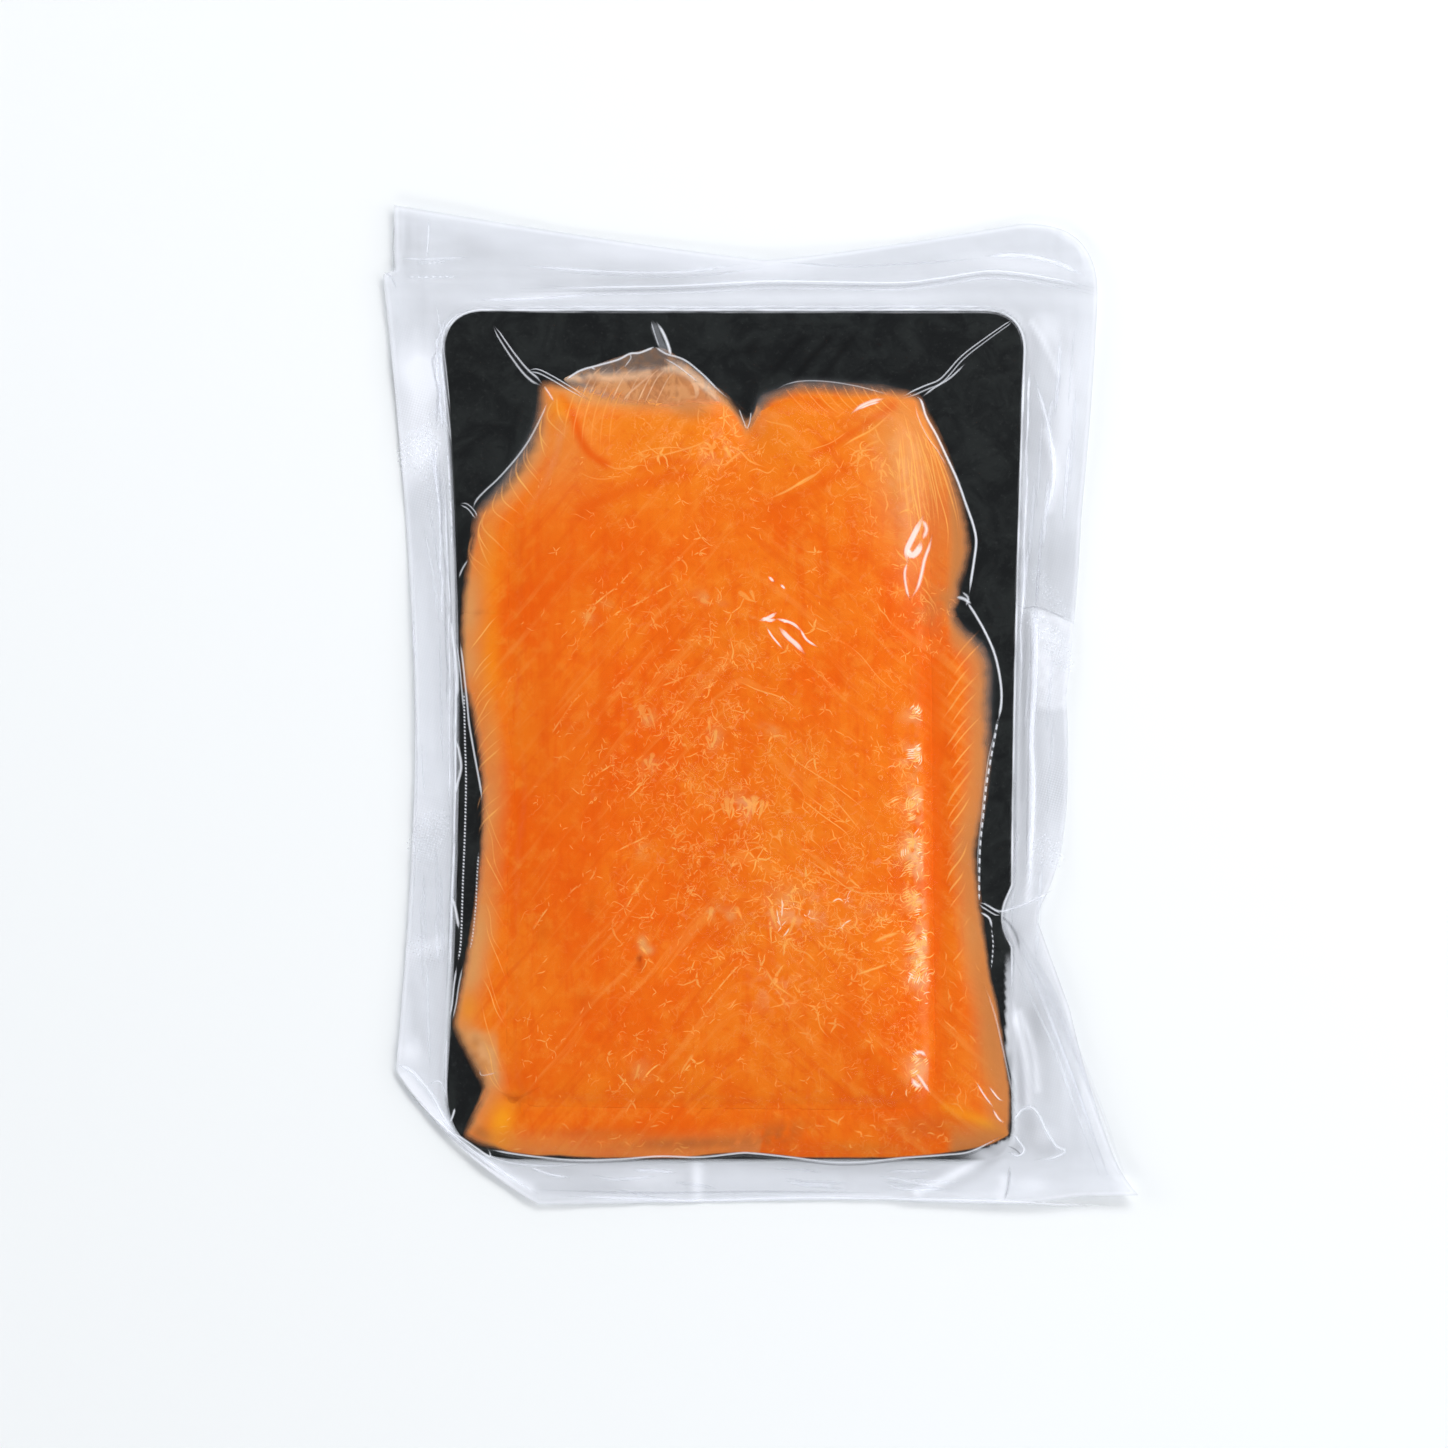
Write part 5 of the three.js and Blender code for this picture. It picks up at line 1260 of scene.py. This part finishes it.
def along_card(lo, hi, out, width, value, wave=0.0, **how):
    """A crease beside the card's edge, between two shares of the way round it from the upper left."""
    p = edge_curve[int(lo * 900):int(hi * 900)]
    n = len(p)
    sway = np.interp(np.linspace(0, 1, n), np.linspace(0, 1, 14), jit.normal(0, 1, 14)) * wave
    breaks = np.interp(np.linspace(0, 1, n), np.linspace(0, 1, 40), np.clip(jit.normal(0.85, 0.3, 40), 0.15, 1.2))
    crease.add(offset(p, out + sway), width * M, value * breaks, **how)


along_card(0.035, 0.285, 0.30, 3.6, 0.95, 0.04, rise=0.25, ends=(0.03, 0.03))          # top
along_card(0.05, 0.25, 1.15, 2.6, 0.5, 0.15, rise=0.15, ends=(0.1, 0.1))
along_card(0.06, 0.26, -0.35, 2.4, 0.28, 0.05, rise=0.1, ends=(0.1, 0.1))
along_card(0.262, 0.50, 0.20, 3.2, 0.85, 0.05, rise=0.25, ends=(0.03, 0.10))           # right
along_card(0.262, 0.40, 1.9, 3.4, 0.75, 0.35, rise=0.2, ends=(0.05, 0.4))
along_card(0.30, 0.50, 0.9, 5.0, 0.35, 0.1, rise=0.1, shade=0.75, ends=(0.1, 0.2))
for out, width, value, dark, lo, hi in ((0.35, 2.6, 0.55, 0.9, 0.80, 0.99), (0.95, 3.2, 0.95, 0.0, 0.80, 0.93), (1.7, 2.2, 0.4, 0.75, 0.79, 0.985),
                                      (2.4, 2.4, 0.8, 0.0, 0.86, 0.99), (3.3, 2.6, 0.45, 0.6, 0.90, 0.995), (4.2, 3.0, 0.7, 0.0, 0.93, 1.0)):
    along_card(lo, hi, out, width, value, 0.18, rise=0.15, shade=dark, ends=(0.1, 0.15))   # left
along_card(0.955, 0.999, 1.0, 3.0, 0.9, 0.1, rise=0.2)
along_card(0.0, 0.05, 0.9, 3.0, 0.8, 0.1, rise=0.2)
along_card(0.0, 0.045, 2.1, 3.4, 0.7, 0.2, rise=0.2)
mark([(440, 345), (433, 358), (434, 372), (438, 392), (437, 410), (436, 428)], 3.4, 0.6, rise=0.2, shade=0.5)
mark([(452, 614), (452, 632), (455, 655), (457, 680), (457, 705)], 5.0, 1.0, rise=0.3)
mark([(455, 735), (459, 752), (461, 768), (457, 785), (455, 800)], 4.0, 0.9, rise=0.3)
mark([(452, 895), (456, 912), (459, 930)], 4.0, 0.95, rise=0.3)
mark([(457, 965), (454, 985), (452, 1005), (449, 1020)], 2.6, 0.85, rise=0.2)
mark([(463, 965), (459, 985), (456, 1005), (452, 1022)], 2.2, 0.6, rise=0.2)
mark([(447, 1030), (446, 1060), (446, 1090), (448, 1108)], 3.2, 0.7, rise=0.2)
mark([(450, 1123), (453, 1115), (455, 1108)], 3.0, 0.95, rise=0.3)
# seals and long creases of the top margin: painted highlight lines with painted shade below some of them
for dy, w, v, dark in ((0, 3.0, 0.95, 0.0), (3.6, 3.0, 0.35, 0.5), (7.0, 2.4, 0.4, 0.0)):
    mark([(520, 288 + dy), (600, 287 + dy), (690, 285 + dy), (770, 281 + dy), (850, 282 + dy), (905, 282 + dy), (945, 277 + dy), (985, 271 + dy), (1020, 273 + dy),
          (1060, 280 + dy), (1094, 288 + dy)], w, v, step=1.2, rise=0.12, ends=(0.2, 0.1), shade=dark)
mark([(560, 272), (640, 276), (700, 275), (760, 268)], 2.6, 0.4, step=1.2, rise=0.1, shade=0.3)
mark([(520, 265), (600, 271), (680, 272), (740, 264)], 3.0, 0.6, step=1.2, rise=0.1)
mark([(985, 256), (1020, 255), (1055, 262), (1085, 276)], 5.0, 0.7, rise=0.12)
mark([(780, 262), (850, 266), (930, 262), (980, 258)], 2.6, 0.4, step=1.2, rise=0.1, shade=0.3)
mark([(470, 300), (540, 298), (600, 294)], 2.4, 0.5, rise=0.1)
mark([(1034, 375), (1048, 425), (1054, 470), (1049, 505), (1045, 525)], 4.5, 0.8, rise=0.2)
beaded([(405, 277), (430, 277), (458, 276)], 2.6, 0.8, 7, 0.5, rise=0.1)
beaded([(415, 262), (432, 263), (450, 260)], 2.6, 0.6, 5, 0.4, rise=0.1)
mark([(429, 219), (428, 240), (427, 258)], 2.4, 0.7, rise=0.08)
mark([(398, 258), (430, 259), (470, 257)], 2.0, 0.55, rise=0.06)
mark([(384, 272), (392, 278), (396, 288)], 2.6, 0.5, rise=0.1, shade=0.4)
mark([(395, 222), (393, 250), (396, 275)], 2.4, 0.4, rise=0.1, shade=0.4)
# side margins: fine streaks along the seal, and stamped patches
for i in range(16):
    sx, y0, ln = jit.uniform(405, 447), jit.uniform(300, 1000), jit.uniform(40, 130)
    mark([(sx, y0), (sx + 1 + 8 * (y0 < 560), y0 + ln * 0.5), (sx + 3 + 12 * (y0 < 560), y0 + ln)], jit.uniform(1.6, 3.2), jit.uniform(0.25, 0.55), step=1.2, rise=0.06,
         shade=0.3 * (i % 2))
mark([(413, 560), (415, 680), (417, 760), (415, 850), (412, 930)], 2.0, 0.35, step=1.2, rise=0.08, shade=0.4)
for i in range(20):
    y0, ln = jit.uniform(330, 860), jit.uniform(30, 110)
    sx = 1092 - 0.075 * (y0 - 330) - jit.uniform(8, 48)
    mark([(sx, y0), (sx - 3, y0 + ln * 0.5), (sx - 6, y0 + ln)], jit.uniform(2.4, 5), jit.uniform(0.15, 0.4), step=1.2, rise=0.06, shade=0.25 * (i % 2))
mark([(1035, 612), (1036, 640), (1035, 690), (1032, 740), (1034, 790), (1031, 850), (1029, 900)], 5.0, 0.95, step=1.0, rise=0.2, ends=(0.05, 0.2))
mark([(1030, 612), (1031, 660), (1029, 740), (1028, 800), (1026, 880)], 2.4, 0.4, step=1.0, rise=0.1, shade=0.6)
mark([(1014, 603), (1024, 608), (1036, 607), (1052, 612), (1072, 622)], 2.2, 0.6, step=1.0, rise=0.1, shade=0.5)


def stamped(cx, cy, rx, ry, turn, pitch=3.4):
    """A patch of the seal's fine diagonal stamping."""
    c, s = math.cos(math.radians(turn)), math.sin(math.radians(turn))
    for a in np.arange(-rx, rx, pitch):
        for b in np.arange(-ry, ry, pitch * 1.25):
            if (a / rx) ** 2 + (b / ry) ** 2 > 1 or jit.uniform() < 0.18:
                continue
            X, Y = cx + a * c - b * s, cy + a * s + b * c
            mark([(X - 1.0 * c, Y - 1.0 * s), (X + 1.1 * c, Y + 1.1 * s)], 1.9, jit.uniform(0.5, 0.95), step=0.18, rise=0.05, ends=(0.3, 0.3))


for patch_of in ((418, 450, 20, 26, 35), (430, 425, 10, 22, 35), (428, 836, 17, 30, 32), (426, 948, 20, 12, 24), (1050, 640, 12, 40, -35), (1048, 590, 10, 30, -35),
                 (1048, 852, 14, 20, -30), (432, 478, 12, 14, 35)):
    stamped(*patch_of)
# pinch on the right and the streaks that run from it
mark([(983, 901), (998, 911), (1014, 908), (1038, 898), (1052, 890)], 3.0, 0.7, rise=0.3)
mark([(999, 915), (1008, 922), (1016, 935), (1020, 950)], 4.0, 0.55, rise=0.2, shade=0.8)
for i in range(5):
    u = jit.uniform(0, 1)
    mark([(1010 + 8 * u, 925 + 6 * i), (1030 + 22 * u, 985 + 4 * i), (1052 + 26 * u, 1050), (1076 + 30 * u, 1120), (1096 + 30 * u, 1175)],
         jit.uniform(3, 8), jit.uniform(0.2, 0.4), step=1.2, rise=0.1, shade=0.3 * (i % 2), ends=(0.3, 0.4))
mark([(1012, 1124), (1020, 1112), (1030, 1107), (1038, 1114), (1046, 1130), (1056, 1146), (1065, 1151), (1052, 1158), (1034, 1160)], 3.6, 0.95, rise=0.5, ends=(0.1, 0.2))
mark([(1012, 1133), (1018, 1140), (1024, 1150), (1018, 1156), (1008, 1152)], 3.4, 0.9, rise=0.4)
mark([(1008, 1146), (1016, 1150), (1022, 1156)], 2.2, 0.6, rise=0.2, shade=0.8)
mark([(1010, 1166), (1008, 1186), (1004, 1200)], 4, 0.6, rise=0.2, shade=0.55)
# bottom margin
edge_low = [(489, 1149), (510, 1153), (540, 1157), (575, 1160), (620, 1159), (660, 1156), (700, 1157), (738, 1153), (752, 1153), (790, 1157), (830, 1162), (862, 1162),
            (900, 1158), (940, 1155), (968, 1152), (990, 1142), (1004, 1134)]
mark(edge_low, 2.8, 0.8, step=0.9, rise=0.3, ends=(0.03, 0.06))
crease.add(offset(curve(spot_of(*edge_low), 0.9), -0.7), 0.6, 0.5, rise=0.1, shade=0.9, ends=(0.05, 0.1))
mark([(470, 1146), (500, 1160), (540, 1166), (600, 1163)], 3.0, 0.6, rise=0.15, ends=(0.2, 0.5))
mark([(560, 1196), (640, 1199), (700, 1201), (800, 1198), (900, 1199), (1000, 1201), (1060, 1204), (1110, 1205)], 3.2, 0.9, step=1.2, rise=0.2, ends=(0.1, 0.1))
mark([(540, 1190), (640, 1193), (760, 1192), (880, 1193)], 2.6, 0.45, step=1.2, rise=0.1, shade=0.5, ends=(0.2, 0.2))
for i in range(13):
    sx, y0 = jit.uniform(560, 930), jit.uniform(1168, 1190)
    mark([(sx, y0), (sx + 22, y0 + jit.normal(2, 2)), (sx + jit.uniform(40, 70), y0 + jit.normal(4, 3))], jit.uniform(2, 4), jit.uniform(0.25, 0.5), step=1.0, rise=0.08,
         shade=0.3 * (i % 2))
# folded corner at the lower left
mark([(397, 1064), (412, 1072), (430, 1092), (443, 1116), (452, 1130)], 4.0, 0.95, rise=0.3, ends=(0.1, 0.1))
mark([(404, 1085), (430, 1113), (460, 1140), (500, 1170), (538, 1194)], 3.0, 0.8, step=0.9, rise=0.2)
mark([(399, 1080), (428, 1112), (462, 1146), (505, 1178)], 3.4, 0.45, step=0.9, rise=0.1, shade=0.7)
mark([(450, 1131), (462, 1138), (475, 1147), (490, 1157), (488, 1147)], 3.4, 0.95, rise=0.3)
mark([(428, 1084), (440, 1082), (446, 1096)], 2.4, 0.7, rise=0.2)
mark([(528, 1166), (548, 1174), (570, 1178)], 3.0, 0.7, rise=0.2)
mark([(497, 1072), (482, 1075), (480, 1068)], 2.0, 0.5, rise=0.1)

# painted glints on the crests
mark([(924, 514), (919, 524), (912, 538), (906, 552), (907, 566)], 7, 0.95, rise=0.3, section=BROAD, ends=(0.35, 0.3))
mark([(905, 548), (911, 556), (918, 550), (921, 540)], 8, 0.95, rise=0.3, section=BROAD, ends=(0.2, 0.35))
mark([(932, 534), (929, 546), (924, 560), (921, 574), (917, 588), (909, 601)], 4.6, 0.9, rise=0.3, ends=(0.25, 0.3))
mark([(907, 562), (904, 574), (906, 590), (909, 600)], 3.8, 0.85, rise=0.3)
mark([(922, 520), (926, 530), (922, 540)], 5.5, 0.8, rise=0.2)
for pts, w in (([(759, 621), (767, 619), (777, 613)], 5.5), ([(762, 618), (769, 621), (776, 620)], 5.0), ([(766, 627), (772, 637), (783, 650)], 2.8), ([(778, 627), (788, 638), (796, 645), (805, 655)], 7),
               ([(775, 619), (792, 624), (802, 633)], 4.2), ([(782, 622), (788, 622)], 4), ([(799, 628), (806, 640), (818, 648)], 3.4), ([(768, 577), (774, 583)], 4), ([(780, 585), (785, 590)], 3.6)):
    mark(pts, 0.8 * w, 0.92, rise=0.2, ends=(0.25, 0.3), section=BROAD)
for pts, w in (([(850, 415), (862, 406), (875, 401), (886, 399)], 5.0), ([(856, 411), (870, 405), (882, 402)], 3.0), ([(912, 1053), (920, 1051), (926, 1056)], 5.0),
               ([(911, 1076), (915, 1083), (922, 1086)], 7.0), ([(914, 1070), (920, 1078), (930, 1093)], 4.5), ([(975, 1080), (984, 1095), (994, 1108)], 2.6),
               ([(988, 1085), (998, 1098), (1004, 1101)], 2.6), ([(992, 1108), (998, 1118), (1004, 1123)], 3.0)):
    mark(pts, w, 0.85, rise=0.2, ends=(0.3, 0.3))
# the small needle at the notch
mark([(739, 409), (743, 420), (747, 430)], 1.9, 0.55, rise=0.15, ends=(0.1, 0.1))
mark([(751, 412), (750, 421), (747, 430)], 1.9, 0.65, rise=0.15, ends=(0.1, 0.1))

finish_piece(crease.make("film_creases_painted_light", film_height, 0.06, film_attrs), FILM, "film", shadow=False)

g = patch(pouch, FRONT_CORNERS, STEP * 2.4)
x, y = g[..., 0], g[..., 1]
dc, dp = d_card(x, y), d_pouch(x, y)
share = np.clip(-dc / np.maximum(-dc + dp, 0.5), 0, 1)
zb = 0.05 + lift(x, y) * (0.35 * smooth(share * 2) + 0.65 * share ** 2) * smooth(-dc / 3) + 0.08 * (noise(x, y, 8, 41) + 1) * smooth(-dc / 3)
zb = np.where(dc > 0, 0.35 + 0.1 * noise(x, y, 9, 42), zb)
zb = np.where((dc > -3) & (dc <= 0), zb * smooth(-dc / 3) + (0.35) * (1 - smooth(-dc / 3)), zb)
back = build("film_back_ply", g, np.clip(zb, 0.02, None), None, dict(haze=0.03 + 0 * x, shade=0.1 + 0 * x, wet=0 * x, warm=0 * x, stamp=0 * x))
finish_piece(back, film_material("film_clear_back", (0.982, 0.984, 0.988, 1), 0.8, 0.12), "film", "film_back")

# ---------------------------------------------------------------- stage, light and camera
floor_mesh = bpy.data.meshes.new("floor")
s = 3.0
floor_mesh.from_pydata([(-s, -s, 0), (s, -s, 0), (s, s, 0), (-s, s, 0)], [], [(0, 1, 2, 3)])
floor = bpy.data.objects.new("floor", floor_mesh)
bpy.context.scene.collection.objects.link(floor)
k = Nodes("floor_pale")
b = k.new("ShaderNodeBsdfPrincipled")
k.put(b.inputs["Base Color"], k.mix(k.noise(k.coords(), 400, 1), (0.88, 0.905, 0.925, 1), (0.89, 0.915, 0.935, 1)))
b.inputs["Roughness"].default_value = 0.9
b.inputs["Specular IOR Level"].default_value = 0.0
k.t.links.new(b.outputs[0], k.out.inputs[0])
floor_mesh.materials.append(k.m)


LEVEL = 1.78


def area(name, loc, target, size_x, size_y, power, color=(1, 1, 1), mirrored=False):
    light = bpy.data.lights.new(name, "AREA")
    light.shape, light.size, light.size_y, light.energy, light.color = "RECTANGLE", size_x, size_y, power * LEVEL, color
    ob = bpy.data.objects.new(name, light)
    d = np.array(target, float) - np.array(loc, float)
    from mathutils import Vector
    ob.location, ob.rotation_euler = loc, Vector(d).to_track_quat("-Z", "Y").to_euler()
    ob.visible_glossy = mirrored
    bpy.context.scene.collection.objects.link(ob)


area("key", (0.55, 1.05, 1.25), (0, 0, 0), 1.0, 0.6, 11)
area("glint", (0.95, 0.25, 1.25), (0, 0, 0), 0.16, 0.24, 0.25)
area("right", (1.35, -0.1, 0.9), (0, 0, 0), 0.7, 1.4, 5.6)
area("front", (-0.2, -1.45, 1.0), (0, 0, 0), 1.4, 0.5, 5)
area("low_left", (-1.7, 0.2, 0.55), (0, 0, 0), 0.5, 1.4, 6.4)

world = bpy.data.worlds.new("studio")
bpy.context.scene.world = world
world.use_nodes = True
wt = world.node_tree
bg = wt.nodes["Background"]
geo, sep, rng = wt.nodes.new("ShaderNodeTexCoord"), wt.nodes.new("ShaderNodeSeparateXYZ"), wt.nodes.new("ShaderNodeMapRange")
wt.links.new(geo.outputs["Generated"], sep.inputs[0])
wt.links.new(sep.outputs[2], rng.inputs["Value"])
rng.interpolation_type = "SMOOTHSTEP"
for key, val in (("From Min", 0.05), ("From Max", 0.75), ("To Min", 1.1), ("To Max", 0.02)):
    rng.inputs[key].default_value = val
wt.links.new(rng.outputs[0], bg.inputs["Strength"])
bg.inputs["Color"].default_value = (0.96, 0.98, 1.0, 1)

cam = bpy.data.cameras.new("camera")
HEIGHT, FRAME_W = 1.6, 1448 * 0.261 * MM
cam.sensor_width, cam.lens = 36.0, 36.0 * (HEIGHT - 0.002) / FRAME_W
cam.clip_end = 20
camera = bpy.data.objects.new("camera", cam)
camera.location = (((724 - 761) * 0.261 + OFFSET[0]) * MM, ((706 - 724) * 0.261 + OFFSET[1]) * MM, HEIGHT)
bpy.context.scene.collection.objects.link(camera)
bpy.context.scene.camera = camera
bpy.context.scene.view_settings.view_transform = "Standard"
